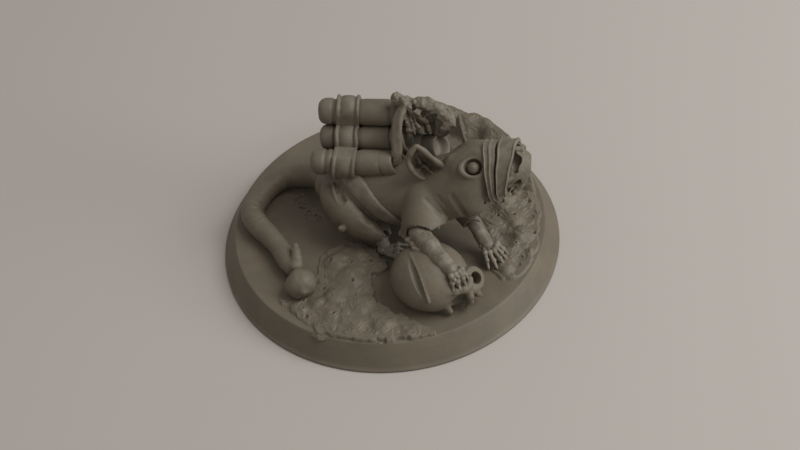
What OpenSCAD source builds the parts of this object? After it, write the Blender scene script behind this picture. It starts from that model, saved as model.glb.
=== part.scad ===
// Tabletop miniature on a round base: a giant ragged rat, with a bundle of fuse sticks strapped to its
// back, leans one bare-boned forepaw on a big skull. +X is the way the rat faces, +Y is its left side,
// +Z is up, and the origin is the middle of the base's flat underside. Sizes are millimetres, and the
// heights of all that stands on the base are measured from its floor.

/* [Base] */
// Diameter of the base at its foot
base_d = 40; // [38:0.5:46]
// Diameter of the base at its rim
base_top_d = 36.6; // [36:0.2:38]
// Height of the rim above the table
base_h = 3; // [2.4:0.1:4]
// Thickness of the scenic floor that lies on the plinth
floor_t = 0.9; // [0.5:0.1:1.5]
// Height of one ledge of the front rubble
ledge_h = 0.3; // [0.2:0.05:0.5]
// Height of one step of the rocky mound behind the rat
mound_step = 0.48; // [0.3:0.02:0.6]
// Steps in the rocky mound
mound_steps = 5; // [3:1:7]
// Length of the egg-shaped pebble
pebble_l = 3.7; // [2.5:0.1:4.5]

/* [Rat] */
// Half width of the chest
chest_r = 3.8; // [3.4:0.05:4.1]
// Half width of the rump
rump_r = 3.4; // [3:0.05:3.7]
// Radius of the cheeks
cheek_r = 3.8; // [3.5:0.05:4.1]
// Radius of the snout at its end
snout_r = 2.6; // [2.3:0.05:2.9]
// Length of the snout in front of the cheeks
snout_l = 2.9; // [2.7:0.1:3.4]
// Diameter of an eyeball
eye_d = 1.4; // [1.1:0.05:1.8]
// Length of an ear, from root to tip
ear_l = 4; // [3:0.1:4.6]
// Diameter of the tail at its root
tail_root_d = 3.1; // [2.6:0.1:3.5]
// Diameter of the tail before its curled tip
tail_end_d = 2.3; // [1.8:0.1:2.6]
// Radius of the bare bones of the forearms
bone_r = 1.05; // [0.8:0.05:1.25]
// Radius of one toe or finger bone
finger_r = 0.38; // [0.28:0.02:0.46]

/* [Straps] */
// Thickness of the muzzle bands
band_t = 0.42; // [0.3:0.02:0.6]
// Width of the rear muzzle band
rear_band_w = 1.1; // [0.8:0.05:1.2]
// Width of the front muzzle band
front_band_w = 1.6; // [1.3:0.05:1.7]
// Width of the girth strap
girth_w = 2.2; // [1.3:0.1:2.4]
// Thickness of the girth strap and of the bundle strap
strap_t = 0.42; // [0.3:0.02:0.6]
// Width of the strap round the bundle
bundle_strap_w = 2.6; // [1.8:0.1:2.9]

/* [Bundle] */
// Diameter of one fuse stick
stick_d = 3; // [2.7:0.05:3.1]
// Length of one fuse stick
stick_l = 9.7; // [9:0.1:10.5]
// Length of the end cap that is marked off by a groove
cap_l = 1.6; // [1.2:0.1:2.2]
// Depth of the mouth in the front end of a stick
mouth_depth = 0.9; // [0.4:0.1:1.4]
// Wall round the mouth of a stick
mouth_wall = 0.32; // [0.22:0.02:0.5]
// How much longer the two far sticks are
far_extra = 2.9; // [2:0.1:3.4]
// Radius of the thick fuse cord
fuse_r = 0.58; // [0.45:0.02:0.66]

/* [Skull] */
// Width of the skull's braincase
skull_w = 8.4; // [7.4:0.1:8.8]
// Length of the skull's braincase
skull_l = 8.8; // [7.6:0.1:9.4]
// Radius of an eye socket
socket_r = 0.95; // [0.7:0.05:1.15]

/* [Hidden] */
resin = [0.42, 0.41, 0.39];
pale_resin = [0.47, 0.46, 0.44];
dark_resin = [0.36, 0.35, 0.33];

// ---- Curves ---------------------------------------------------------------------------------------

function unit(v) = v / norm(v);
function xyz(p) = [p[0], p[1], p[2]];

// A point of the smooth curve through a list of points, t of the way from point i to the next
function between(p, i, t) =
    let (n = len(p) - 1, a = p[max(i - 1, 0)], b = p[i], c = p[i + 1], d = p[min(i + 2, n)])
    b + t / 2 * ((c - a) + t * ((2 * a - 5 * b + 4 * c - d) + t * (3 * b - a - 3 * c + d)));

// The curve itself, cut into equal steps of each stretch
function curve(p, steps) = concat(
    [for (i = [0 : len(p) - 2]) for (j = [0 : steps - 1]) between(p, i, j / steps)],
    [p[len(p) - 1]]
);

// A closed outline drawn smoothly through a ring of points
function closed_curve(p, steps) =
    let (n = len(p))
    [for (i = [0 : n - 1]) for (j = [0 : steps - 1])
        between([p[(i + n - 1) % n], p[i], p[(i + 1) % n], p[(i + 2) % n]], 1, j / steps)];

// An ellipse round a point, square to a direction; the up radius leans towards ref
function ring(centre, along, r_side, r_up, sides, ref = [0, 0, 1]) =
    let (t = unit(along), s = unit(cross(ref, t)), u = cross(t, s))
    [for (k = [0 : sides - 1]) let (a = 360 * k / sides)
        centre + r_side * cos(a) * s + r_up * sin(a) * u];

// Rings along a path of [x, y, z, side radius, up radius], each square to the path
function tube_rings(path, sides, grow = 0, ref = [0, 0, 1]) =
    let (n = len(path) - 1)
    [for (i = [0 : n])
        ring(xyz(path[i]), xyz(path[min(i + 1, n)]) - xyz(path[max(i - 1, 0)]),
            path[i][3] + grow, path[i][4] + grow, sides, ref)];

// Rings of upright slices through a body that lies along X
function slice_rings(path, sides, grow = 0) =
    [for (p = path) ring(xyz(p), [1, 0, 0], p[3] + grow, p[4] + grow, sides)];

// Skin over a row of rings: each stretch is the hull of two rings, and shares a face with the next
module loft(rings) {
    for (i = [1 : len(rings) - 1])
        hull()
            polyhedron(
                points = concat(rings[i - 1], rings[i]),
                faces = [[for (k = [0 : 2 * len(rings[0]) - 1]) k]]
            );
}

// Round-ended rod through a list of [x, y, z, radius]
module chain(p, sides = 8) {
    for (i = [1 : len(p) - 1])
        hull()
            for (q = [p[i - 1], p[i]])
                translate(xyz(q))
                    sphere(q[3], $fn = sides);
}

// An egg: a lump with three half lengths
module lump(centre, radii, turn = [0, 0, 0], sides = 14, rows = 9) {
    translate(centre)
        rotate(turn)
            loft([for (k = [0 : rows])
                let (a = -90 + 180 * k / rows, w = max(cos(a), 0.03))
                [for (j = [0 : sides - 1]) let (b = 360 * j / sides)
                    [radii[0] * w * cos(b), radii[1] * w * sin(b), radii[2] * sin(a)]]]);
}

// ---- Base and scenery -----------------------------------------------------------------------------

plinth_h = base_h - floor_t;
rim_r = base_top_d / 2;

function wall_r(z) = base_d / 2 + (base_top_d - base_d) / 2 * z / base_h;

module base_plinth() {
    color(resin)
        cylinder(h = plinth_h, r1 = base_d / 2, r2 = wall_r(plinth_h), $fn = 128);
}

module scenic_floor() {
    color(resin)
        translate([0, 0, plinth_h])
            cylinder(h = floor_t, r1 = wall_r(plinth_h), r2 = rim_r, $fn = 128);
}

// Corner points of the pitted patch at the front, as shares of the rim's radius
front_patch = rim_r * [
    [-0.66, -0.66], [-0.34, -0.94], [-0.24, -0.965], [0.04, -0.99], [0.22, -0.965], [0.385, -0.9],
    [0.19, -0.79], [0.03, -0.69], [-0.04, -0.52], [0.05, -0.4], [-0.09, -0.25], [-0.27, -0.21],
    [-0.38, -0.33], [-0.41, -0.49], [-0.39, -0.62], [-0.5, -0.71]
];
// Corner points of the rocky patch to the right and behind
back_patch = rim_r * [
    [0.54, 0.06], [0.6, -0.2], [0.68, -0.42], [0.83, -0.48], [0.95, -0.26], [0.975, 0.03], [0.92, 0.33],
    [0.83, 0.53], [0.67, 0.72], [0.47, 0.86], [0.27, 0.94], [0.06, 0.95], [0.02, 0.72], [0.14, 0.44],
    [0.36, 0.24]
];
// The mound's steps draw in towards this point
mound_peak = rim_r * [0.5, 0.72];

// Low domes over the front patch: [x, y, as shares of the rim's radius, radius, height above the ledge]
front_domes = [
    [-0.306, -0.393, 1.5, 0.55], [-0.175, -0.525, 1.7, 0.6], [-0.251, -0.689, 1.4, 0.5], [-0.087, -0.743, 1.6, 0.45],
    [-0.47, -0.798, 1.1, 0.4], [0.066, -0.852, 1.5, 0.35], [-0.131, -0.339, 1.1, 0.4]
];

module front_rubble_form() {
    for (k = [0 : 1])
        linear_extrude((k + 1) * ledge_h)
            offset(delta = -0.75 * k)
                polygon(closed_curve(front_patch, 3));
    for (d = front_domes)
        translate([d[0] * rim_r, d[1] * rim_r, 2 * ledge_h])
            hull()
                for (e = [0, 0.6, 1])
                    translate([0, 0, d[3] * e - 0.05])
                        linear_extrude(0.02)
                            circle(d[2] * sqrt(1 - 0.85 * e * e), $fn = 9);
}

module rubble_front() {
    color(pale_resin)
        difference() {
            front_rubble_form();
            tail_form();
            pebble_form();
            skull_form();
            hind_foot_form(-1);
            shin_form(-1);
        }
}

module mound_form() {
    for (k = [0 : mound_steps])
        let (s = 1 - 0.74 * pow(k / (mound_steps + 1), 0.85))
        translate([mound_peak[0] * (1 - s), mound_peak[1] * (1 - s), 0])
            linear_extrude((k + 1) * mound_step)
                scale(s)
                    polygon([for (p = closed_curve(back_patch, 2))
                        p * (1 + 0.02 * sin(7 * atan2(p[1], p[0]) + 80 * k))]);
}

module mound_back() {
    color(pale_resin)
        difference() {
            union() {
                mound_form();
                ridge_form();
                for (b = mound_boulders)
                    boulder_form(b);
            }
            paw_form_left();
        }
}

// Boulders that crown the mound: [x, y, as shares of the rim's radius, radius, turn]
mound_boulders = [
    [0.12, 0.891, 1.5, 40], [0.251, 0.852, 2.1, 10], [0.393, 0.814, 2, 50], [0.53, 0.749, 2.2, 25],
    [0.661, 0.656, 2.1, 70], [0.77, 0.53, 1.9, 5], [0.852, 0.383, 1.6, 33], [0.579, 0.525, 1.6, 15]
];

// The boulders stand in one ridge: a lower wall of rock joins each to the next
module ridge_form() {
    for (i = [1 : 6])
        hull()
            for (b = [mound_boulders[i - 1], mound_boulders[i]])
                translate([b[0] * rim_r, b[1] * rim_r, 0])
                    rotate([0, 0, b[3]])
                        cylinder(h = 0.6 + 1.2 * b[2], r1 = 0.9 * b[2], r2 = 0.5 * b[2], $fn = 6);
}

module boulder_form(b) {
    r = b[2];
    translate([b[0] * rim_r, b[1] * rim_r, 0])
        rotate([0, 0, b[3]])
            hull() {
                cylinder(h = 0.6 + r, r1 = r, r2 = r * 0.85, $fn = 7);
                translate([0.2 * r, 0.1 * r, 0])
                    cylinder(h = 0.6 + r * 1.6, r1 = r * 0.9, r2 = r * 0.5, $fn = 6);
            }
}

// The pebble lies just clear of the tail's tip
pebble_at = [-9.8, -9.1, 1.2] + (tail_end_d / 2 + pebble_l * 0.43 + 0.1) * unit([1.25, -2.4, 0]);

module pebble_form() {
    difference() {
        lump(pebble_at, [pebble_l / 2, pebble_l * 0.43, pebble_l * 0.43], [0, 0, 25], 16, 9);
        below_floor();
    }
}

module below_floor() {
    translate([0, 0, -10])
        cylinder(h = 10, r = base_d, $fn = 48);
}

module pebble() {
    color(pale_resin)
        pebble_form();
}

// ---- Rat: trunk and tail --------------------------------------------------------------------------

neck_x = 7.6;
// Slices through the trunk: [x, y, z, half width, half height]
trunk = [
    [-8.4, 1.4, 3.9, 0.9, 0.9], [-7.7, 1.3, 4.2, rump_r * 0.46, rump_r * 0.52],
    [-6.3, 1, 4.6, rump_r * 0.72, rump_r * 0.8], [-4.2, 0.6, 5, rump_r * 0.94, rump_r * 0.97],
    [-1.8, 0.2, 5.2, chest_r * 0.97, chest_r * 0.88], [0.8, -0.5, 5.5, chest_r, chest_r * 0.88],
    [3.4, -1.2, 6.1, chest_r, chest_r * 0.93], [5.8, -1.8, 6.9, chest_r, chest_r],
    [neck_x, -2, 7.8, cheek_r, cheek_r]
];

module trunk_form(grow = 0) {
    loft(slice_rings(curve(trunk, 2), 20, grow));
}

module torso() {
    color(resin)
        difference() {
            trunk_form();
            stick_room();
            bundle_strap_room();
        }
}

// The tail's middle line on the floor: [x, y, height of the line above the floor, radius]
tail_line = [
    [-6.6, 2.2, 4.2, 1], [-8.8, 4.2, 2.6, 1], [-11.2, 5.4, 1.35, 0.95], [-13.6, 4.9, 1.25, 0.9],
    [-15.3, 3.1, 1.2, 0.85], [-16.2, 0.6, 1.15, 0.8], [-16.1, -1.3, 1.1, 0.7], [-14.9, -3, 1.1, 0.6],
    [-13.2, -4.7, 1.1, 0.4], [-11.7, -6.4, 1.1, 0.2], [-10.7, -7.9, 1.1, 0.1], [-9.9, -9, 1.25, 0]
];
tip_line = [
    [-9.8, -9.1, 1.3, 1.02], [-9.3, -9.4, 2, 0.86], [-9.1, -8.9, 2.8, 0.66], [-9.4, -8, 3.1, 0.56],
    [-9.8, -7, 3.15, 0.5], [-10, -6.3, 3.2, 0.4]
];

function tail_r(share) = (tail_end_d + (tail_root_d - tail_end_d) * share) / 2;

module tail_form() {
    difference() {
        union() {
            loft(tube_rings(
                curve([for (q = tail_line) [q[0], q[1], q[2], tail_r(q[3]), tail_r(q[3])]], 2),
                10
            ));
            chain(curve(tip_line, 2), 8);
        }
        below_floor();
    }
}

module tail() {
    color(resin)
        difference() {
            tail_form();
            trunk_form();
        }
}

// ---- Rat: head ------------------------------------------------------------------------------------

snout_x = 11.8;
rear_band_x = snout_x + 0.3;
head_y = -2;
// Slices through the head: [x, y, z, half width, half height]
skull_slices = [
    [neck_x, head_y, 7.8, cheek_r, cheek_r], [9.2, head_y, 8.7, cheek_r * 1.03, cheek_r * 1.02],
    [10.4, head_y, 9.3, cheek_r * 0.99, cheek_r], [11.2, head_y, 9.8, cheek_r * 0.92, cheek_r * 0.93],
    [snout_x, head_y, 10.3, snout_r * 1.13, snout_r * 1.16]
];
// Slices through the snout, inside the bands
function snout_z(t) = 10.3 + 0.8 * t;
function snout_side(t) = snout_r * (1.13 - 0.13 * t);
function snout_up(t) = snout_r * (1.16 - 0.12 * t);
// The muzzle, its bands and its end are square to this way, forward and a little up
muzzle_way = unit([snout_l, 0, 0.8]);

// The head is rolled towards the rat's left, because its right forepaw stands high on the skull
head_roll = 24;
eye_x = 10.65;
eye_z = 9.4;
eye_out = 3.4;
eye_spots = [
    for (s = [-1, 1])
        [eye_x, head_y + eye_out * sin(head_roll + 50 * s), eye_z + eye_out * cos(head_roll + 50 * s)]
];

module head_form(grow = 0) {
    loft(slice_rings(curve(skull_slices, 2), 18, grow));
    snout_form(grow);
}

module snout_form(grow = 0) {
    loft([for (t = [0, 1])
        ring([snout_x + snout_l * t, head_y, snout_z(t)], t == 0 ? [1, 0, 0] : muzzle_way,
            snout_side(t) + grow, snout_up(t) + grow, 18)]);
}

// Raised ring of eyelid round an eye
module eyelid(k) {
    translate(eye_spots[k])
        rotate([-head_roll - (k == 0 ? -50 : 50), 0, 0])
            for (j = [0 : 9])
                hull()
                    for (a = [j * 36, (j + 1) * 36])
                        translate([1.4 * cos(a), 1.1 * sin(a), 0.1])
                            sphere(0.34, $fn = 5);
}

module head() {
    color(resin)
        difference() {
            union() {
                head_form();
                difference() {
                    for (k = [0, 1])
                        eyelid(k);
                    band_slice(rear_band_x, rear_band_w, band_t + 0.25);
                }
            }
            for (spot = eye_spots)
                translate(spot)
                    sphere(eye_d / 2 + 0.02, $fn = 14);
            translate([neck_x - 5, head_y - 10, 0])
                cube([5, 20, 20]);
        }
}

module eye(k) {
    color(pale_resin)
        translate(eye_spots[k])
            sphere(eye_d / 2, $fn = 24);
}

module eye_right() { eye(0); }

module eye_left() { eye(1); }

// A leaf-shaped ear, cupped along its middle: root, tip, width and the way its hollow faces
module ear_shell(root, tip, width, face) {
    along = tip - root;
    f = unit(face);
    s = unit(cross(along, f));
    rows = 8;
    for (k = [0 : rows - 1])
        for (half = [-1, 1])
            hull()
                for (j = [k, k + 1])
                    let (t = j / rows, w = width * (0.35 + 1.9 * t * (1 - t) * (1 + 0.5 * (1 - t))) * (t < 1 ? 1 : 0.2))
                    for (e = [0, 1])
                        translate(root + along * t + half * e * w * s + f * (e * w * 0.55 - 0.1))
                            sphere(e == 0 ? 0.34 : 0.2, $fn = 5);
}

ear_right_root = [5.9, -2.8, 10.4];
ear_left_root = [8.7, 0.9, 10.9];

module ear_right() {
    color(pale_resin)
        difference() {
            ear_shell(ear_right_root, ear_right_root + ear_l * unit([-1.5, -0.2, 3.4]), 1.5, [0.2, -1, 0.35]);
            head_form();
            trunk_form();
        }
}

module ear_left() {
    color(pale_resin)
        difference() {
            ear_shell(ear_left_root, ear_left_root + ear_l * unit([-0.1, 0.6, 3.5]), 1.3, [1, 0.5, 0.1]);
            head_form();
            trunk_form();
        }
}

// A muzzle band: a sleeve of the snout, with raised cords round it
module muzzle_band(x0, w, cords) {
    cord_w = 0.28;
    difference() {
        union() {
            band_slice(x0, w, band_t);
            for (c = [0 : cords - 1])
                band_slice(x0 + (c + 0.5) * w / cords - cord_w / 2, cord_w, band_t + 0.2);
        }
        head_form();
    }
}

// A disc of the snout's own outline, grown by t, from x0 for a width w
module band_slice(x0, w, t) {
    loft([for (x = [x0, x0 + w])
        let (u = (x - snout_x) / snout_l)
        ring([x, head_y, snout_z(u)], muzzle_way, snout_side(u) + t, snout_up(u) + t, 18)]);
}

module muzzle_band_rear() {
    color(dark_resin)
        muzzle_band(rear_band_x, rear_band_w, 2);
}

module muzzle_band_front() {
    color(dark_resin)
        muzzle_band(rear_band_x + rear_band_w + 0.15, min(front_band_w, snout_l - rear_band_w - 0.5), 3);
}

// The nose: two deep nostrils with a bridge between them, closed by a front rim
module snout_end() {
    x0 = snout_x + snout_l;
    z0 = snout_z(1);
    color(resin)
        difference() {
            loft([for (e = [[0, 1, 1.04], [0.5, 0.98, 1], [0.95, 0.86, 0.88], [1.25, 0.6, 0.64], [1.35, 0.3, 0.3]])
                ring([x0, head_y, z0] + e[0] * muzzle_way, muzzle_way, snout_r * e[1], snout_r * e[2], 20)]);
            for (s = [-1, 1])
                translate([x0 + 1.05, head_y + s * 1.15, z0 + 0.35])
                    hull() {
                        translate([0, 0, 0.55])
                            sphere(0.62, $fn = 12);
                        translate([0, s * 0.2, -0.5])
                            sphere(0.55, $fn = 12);
                    }
        }
}

// Spiky tufts of hair below the jaw, in two rows
module chin_tuft() {
    color(resin)
        difference() {
            for (s = [-1, 1])
                for (j = [0 : 3])
                    hull() {
                        translate([10 + 0.8 * j, head_y - 0.9 + 0.7 * s, 6.6 + 0.45 * j])
                            sphere(0.5, $fn = 6);
                        translate([11.2 + 0.95 * j, head_y - 1.2 + 0.9 * s, 5.1 + 0.7 * j])
                            sphere(0.12, $fn = 4);
                    }
            head_form();
            muzzle_band(rear_band_x, rear_band_w, 2);
        }
}

// ---- Rat: legs ------------------------------------------------------------------------------------

// side is -1 for the rat's right, +1 for its left; reach is how far out a leg stands at each place
function hind_y(side, reach) = 0.3 + side * reach;

module thigh_form(side) {
    sink = side < 0 ? 0 : 0.6;
    loft(tube_rings([for (p = curve([
        [-6.4, hind_y(side, 1.3), 5.2 - sink, 1.1], [-5.5, hind_y(side, 1.8), 4.7 - sink, 1.9],
        [-4.2, hind_y(side, 2.5), 4.1 - sink, 2.4], [-2.6, hind_y(side, 3.4), 3.3 - sink / 2, 2.3],
        [-0.9, hind_y(side, 4.3), 2.75, 1.75], [0, hind_y(side, 4.9), 2.4, 1]
    ], 2)) [p[0], p[1], p[2], p[3], p[3]]], 12));
}

module thigh(side) {
    color(resin)
        difference() {
            thigh_form(side);
            trunk_form();
            girth_slab(20);
        }
}

module thigh_right() { thigh(-1); }

module thigh_left() { thigh(1); }

module shin_form(side) {
    chain([
        [-0.9, hind_y(side, 4.5), 2.7, 0.9], [-0.6, hind_y(side, 4.7), 1.9, 0.85], [-0.2, hind_y(side, 5), 1.4, 0.7],
        [0.2, hind_y(side, 5.4), 1.1, 0.62]
    ], 8);
}

module shin(side) {
    color(dark_resin)
        difference() {
            shin_form(side);
            thigh_form(side);
            trunk_form();
            below_floor();
        }
}

module shin_right() { shin(-1); }

module shin_left() { shin(1); }

module hind_foot_form(side) {
    y = hind_y(side, 5.8);
    difference() {
        union() {
            chain([[-0.1, y - side * 0.2, 0.5, 0.7], [0.8, y, 0.6, 0.75]], 8);
            for (k = [-1.5 : 1 : 1.5])
                chain([
                    [0.8, y + 0.35 * k, 0.6, finger_r + 0.05],
                    [1.6, y + 0.62 * k, 0.72, finger_r + 0.1],
                    [2.5, y + 0.8 * k, 0.25, finger_r]
                ], 6);
        }
        below_floor();
    }
}

module hind_foot(side) {
    color(dark_resin)
        difference() {
            hind_foot_form(side);
            shin_form(side);
            thigh_form(side);
            skull_form();
        }
}

module hind_foot_right() { hind_foot(-1); }

module hind_foot_left() { hind_foot(1); }

// Hide sleeve of the near foreleg, and its bare forearm down to the skull's brow
sleeve_right_line = [
    [5.2, -2.6, 7.4, 2.3, 2.2], [5.2, -3.9, 6.9, 2.6, 2.5], [5.1, -5, 6.3, 2.5, 2.3],
    [5.05, -5.9, 5.7, 2.6, 2.3], [5.05, -6.4, 5.3, 2.75, 2.4]
];
sleeve_left_line = [
    [8, -0.6, 5.6, 1.6, 1.6], [8.6, -1.4, 5, 1.7, 1.7], [9.5, -2.3, 4.3, 1.5, 1.5],
    [10.3, -3, 3.7, 1.35, 1.3], [10.5, -3.2, 3.5, 1.4, 1.35]
];
forearm_right_line = [
    [5, -6, 5.9, 1.15], [6.1, -7.5, 6, 1.1], [7.5, -9.2, 5.9, 0.98], [8.7, -10.6, 5.5, 0.92],
    [9.4, -11.3, 5, 1.05]
];
forearm_left_line = [
    [10.1, -2.8, 3.9, 0.95], [10.9, -3.6, 3.1, 0.98], [11.6, -4.3, 2.2, 0.86], [12.1, -4.9, 1.5, 0.95]
];

module sleeve_form(line) {
    loft(tube_rings(curve(line, 2), 14, 0, [1, 0, 0]));
}

module sleeve(line) {
    color(resin)
        difference() {
            sleeve_form(line);
            trunk_form();
            head_form();
        }
}

module sleeve_right() { sleeve(sleeve_right_line); }

module sleeve_left() { sleeve(sleeve_left_line); }

module forearm_form(line) {
    chain([for (p = curve(line, 2)) [p[0], p[1], p[2], p[3] * bone_r]], 10);
}

module forearm(line, sleeve_line) {
    color(pale_resin)
        difference() {
            forearm_form(line);
            sleeve_form(sleeve_line);
            skull_form();
            trunk_form();
            below_floor();
        }
}

module forearm_right() { forearm(forearm_right_line, sleeve_right_line); }

module forearm_left() { forearm(forearm_left_line, sleeve_left_line); }

// Finger bones that spread from a wrist: each has two knuckles and a claw
module fingers(wrist, heading, drop, count, spread, reach) {
    for (k = [0 : count - 1])
        let (a = heading + spread * (k - (count - 1) / 2), d = [cos(a), sin(a), 0])
        chain([
            concat(wrist + 0.35 * d, finger_r * 1.15),
            concat(wrist + reach * 0.42 * d + [0, 0, 0.2], finger_r * 1.25),
            concat(wrist + reach * 0.75 * d - [0, 0, drop * 0.45], finger_r * 1.1),
            concat(wrist + reach * d - [0, 0, drop], finger_r * 0.8)
        ], 6);
}

paw_right_at = [9.5, -11.3, 4.8];
paw_left_at = [12.3, -5.1, 1.1];

module paw_form_right() {
    chain([concat(paw_right_at, 0.95), concat(paw_right_at + [0.5, -0.5, -0.1], 0.8)], 8);
    fingers(paw_right_at, -55, 1, 4, 24, 1.9);
}

module paw_form_left() {
    chain([concat(paw_left_at, 0.95), concat(paw_left_at + [0.5, -0.5, -0.2], 0.75)], 8);
    fingers(paw_left_at, -42, 0.9, 4, 21, 2.9);
}

module paw_right() {
    color(pale_resin)
        difference() {
            paw_form_right();
            skull_form();
            forearm_form(forearm_right_line);
        }
}

module paw_left() {
    color(pale_resin)
        difference() {
            paw_form_left();
            forearm_form(forearm_left_line);
            below_floor();
        }
}

// ---- Bundle of fuse sticks ------------------------------------------------------------------------

bundle_middle = [2.7, 10.4];
// Which way each stick lies from the middle one, how far its back end is from the bundle's, and its length
stick_ways = [205, -1, 61, 1, -59];
stick_backs = [-0.5, 0.3, 0.2, 1.3, 1.3];
stick_lengths = [for (far = [0, 0, 0, 1, 1]) stick_l + far_extra * far];
bundle_back_x = -7.7;
last_stick = len(stick_ways) - 1;
function stick_yz(k) = stick_ways[k] == -1 ? bundle_middle
    : bundle_middle + stick_d * [cos(stick_ways[k]), sin(stick_ways[k])];
function stick_x(k) = bundle_back_x + stick_backs[k];

// One stick: a turned rod with a groove behind each end cap and a shallow mouth in front
module stick(k) {
    r = stick_d / 2;
    l = stick_lengths[k];
    groove = 0.12;
    color(k % 2 == 0 ? resin : pale_resin)
        translate([stick_x(k), stick_yz(k)[0], stick_yz(k)[1]])
            rotate([0, 90, 0])
                rotate_extrude($fn = 32)
                    polygon([
                        [0, 0], [r - 0.3, 0], [r, 0.3], [r, cap_l], [r - groove, cap_l + 0.12],
                        [r - groove, cap_l + 0.3], [r, cap_l + 0.42], [r, l - cap_l - 0.42],
                        [r - groove, l - cap_l - 0.3], [r - groove, l - cap_l - 0.12], [r, l - cap_l], [r, l],
                        [r - mouth_wall, l], [r - mouth_wall, l - mouth_depth], [0, l - mouth_depth]
                    ]);
}

module stick_1() { stick(0); }

module stick_2() { stick(1); }

module stick_3() { stick(2); }

module stick_4() { stick(3); }

module stick_5() { stick(4); }

// Room that the sticks take, cut from what carries them
module stick_room() {
    for (k = [0 : last_stick])
        translate([stick_x(k), stick_yz(k)[0], stick_yz(k)[1]])
            rotate([0, 90, 0])
                cylinder(h = stick_lengths[k], r = stick_d / 2 / cos(180 / 24), $fn = 24);
}

strap_x = -5.5;

// Outline of the pack with the clefts between its sticks partly filled, seen along the sticks
module pack_outline(grow) {
    offset(r = grow, $fn = 16)
        offset(r = -0.9, $fn = 16)
            offset(r = 0.9, $fn = 16)
                for (k = [0 : last_stick])
                    translate(stick_yz(k))
                        circle(stick_d / 2 / cos(180 / 24), $fn = 24);
}

module along_x(x0, w) {
    translate([x0, 0, 0])
        rotate([90, 0, 90])
            linear_extrude(w)
                children();
}

module bundle_strap() {
    welt = 0.3;
    color(dark_resin) {
        strap_ring(strap_x, bundle_strap_w, strap_t);
        for (x = [strap_x, strap_x + bundle_strap_w - welt])
            strap_ring(x, welt, strap_t + 0.18);
    }
}

module strap_ring(x0, w, t) {
    along_x(x0, w)
        difference() {
            pack_outline(t);
            pack_outline(0.01);
        }
}

module bundle_strap_room() {
    along_x(strap_x - 0.01, bundle_strap_w + 0.02)
        pack_outline(strap_t + 0.2);
}

// The girth runs from under the bundle, slantwise down the flanks and below the belly. Its slab starts
// at the strap's rear edge and reaches forward
module girth_slab(reach) {
    translate([-1.5, -1, 5.65])
        rotate([0, -50, 0])
            translate([-girth_w / 2, -8, -12])
                cube([reach, 16, 24]);
}

module girth_strap() {
    color(dark_resin)
        difference() {
            intersection() {
                trunk_form(strap_t);
                girth_slab(girth_w);
            }
            trunk_form();
            stick_room();
            bundle_strap_room();
            sleeve_form(sleeve_right_line);
            sleeve_form(sleeve_left_line);
            // no strap where the bundle sits on the back
            translate([-10, -0.8, 7.1])
                cube([12, 8, 5]);
        }
}

// Thick fuse that climbs out of the bottom stick's mouth
fuse_line = [
    [0.7, -0.1, 9.2], [1.7, -0.2, 9.5], [2, 0.1, 10.6], [2, 0.9, 12.2], [2.2, 2, 13.9], [3, 3.1, 15]
];

module fuse_form() {
    chain([for (p = curve(fuse_line, 2)) concat(p, fuse_r)], 8);
}

module fuse_cord() {
    color(pale_resin)
        difference() {
            fuse_form();
            for (k = [0 : last_stick])
                stick(k);
        }
}

// Twisted bunch of fuse ends over the mouths of the upper sticks
knot_line = [
    [1.8, 3.5, 15.9], [2.4, 3.4, 15.4], [3.2, 3.2, 14.9], [4.2, 3.2, 14.5], [5, 3.4, 13.8], [5.3, 3.6, 12.9]
];

module fuse_knot() {
    color(dark_resin)
        difference() {
            union() {
                for (turn = [0, 180])
                    chain([for (p = [for (i = [0 : 10]) concat(between(knot_line, min(floor(i / 2), 4), i == 10 ? 1 : (i % 2) / 2), i)])
                        [p[0], p[1] + 0.38 * cos(90 * p[3] + turn), p[2] + 0.38 * sin(90 * p[3] + turn), 0.46]], 6);
                chain([[1.7, 3.6, 15.9, 0.55], [1.9, 3.5, 15.7, 0.5]], 8);
            }
            stick_room();
            fuse_form();
        }
}

// Bent cap that hoods the end of the far upper stick
module fuse_sleeve() {
    color(resin)
        difference() {
            union() {
                chain([[5.6, 4.4, 13.2, 0.7], [6.6, 3.6, 13.6, 0.75], [7.4, 2.8, 13.2, 0.7], [7.7, 2.2, 12.4, 0.6]], 8);
                chain([[5.6, 5.2, 12.6, 0.6], [6.5, 5, 12.9, 0.6], [7.2, 4.4, 12.6, 0.6], [7.6, 3.6, 12, 0.5]], 8);
                chain([[5.4, 5.4, 12.2, 0.6], [5.6, 4.4, 13, 0.6], [5.8, 4, 13.2, 0.6]], 8);
            }
            stick_room();
            fuse_form();
            head_form();
            trunk_form();
        }
}

// ---- Skull ----------------------------------------------------------------------------------------

skull_turn = -22;
skull_at = [6.1, -10.6, 2.4];
skull_h = 3.4;
socket_x = skull_l / 2 + 0.1;
socket_y = 1.8;
face_lift = 0.5;

module on_skull() {
    translate(skull_at)
        rotate([0, 0, skull_turn])
            children();
}

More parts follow.
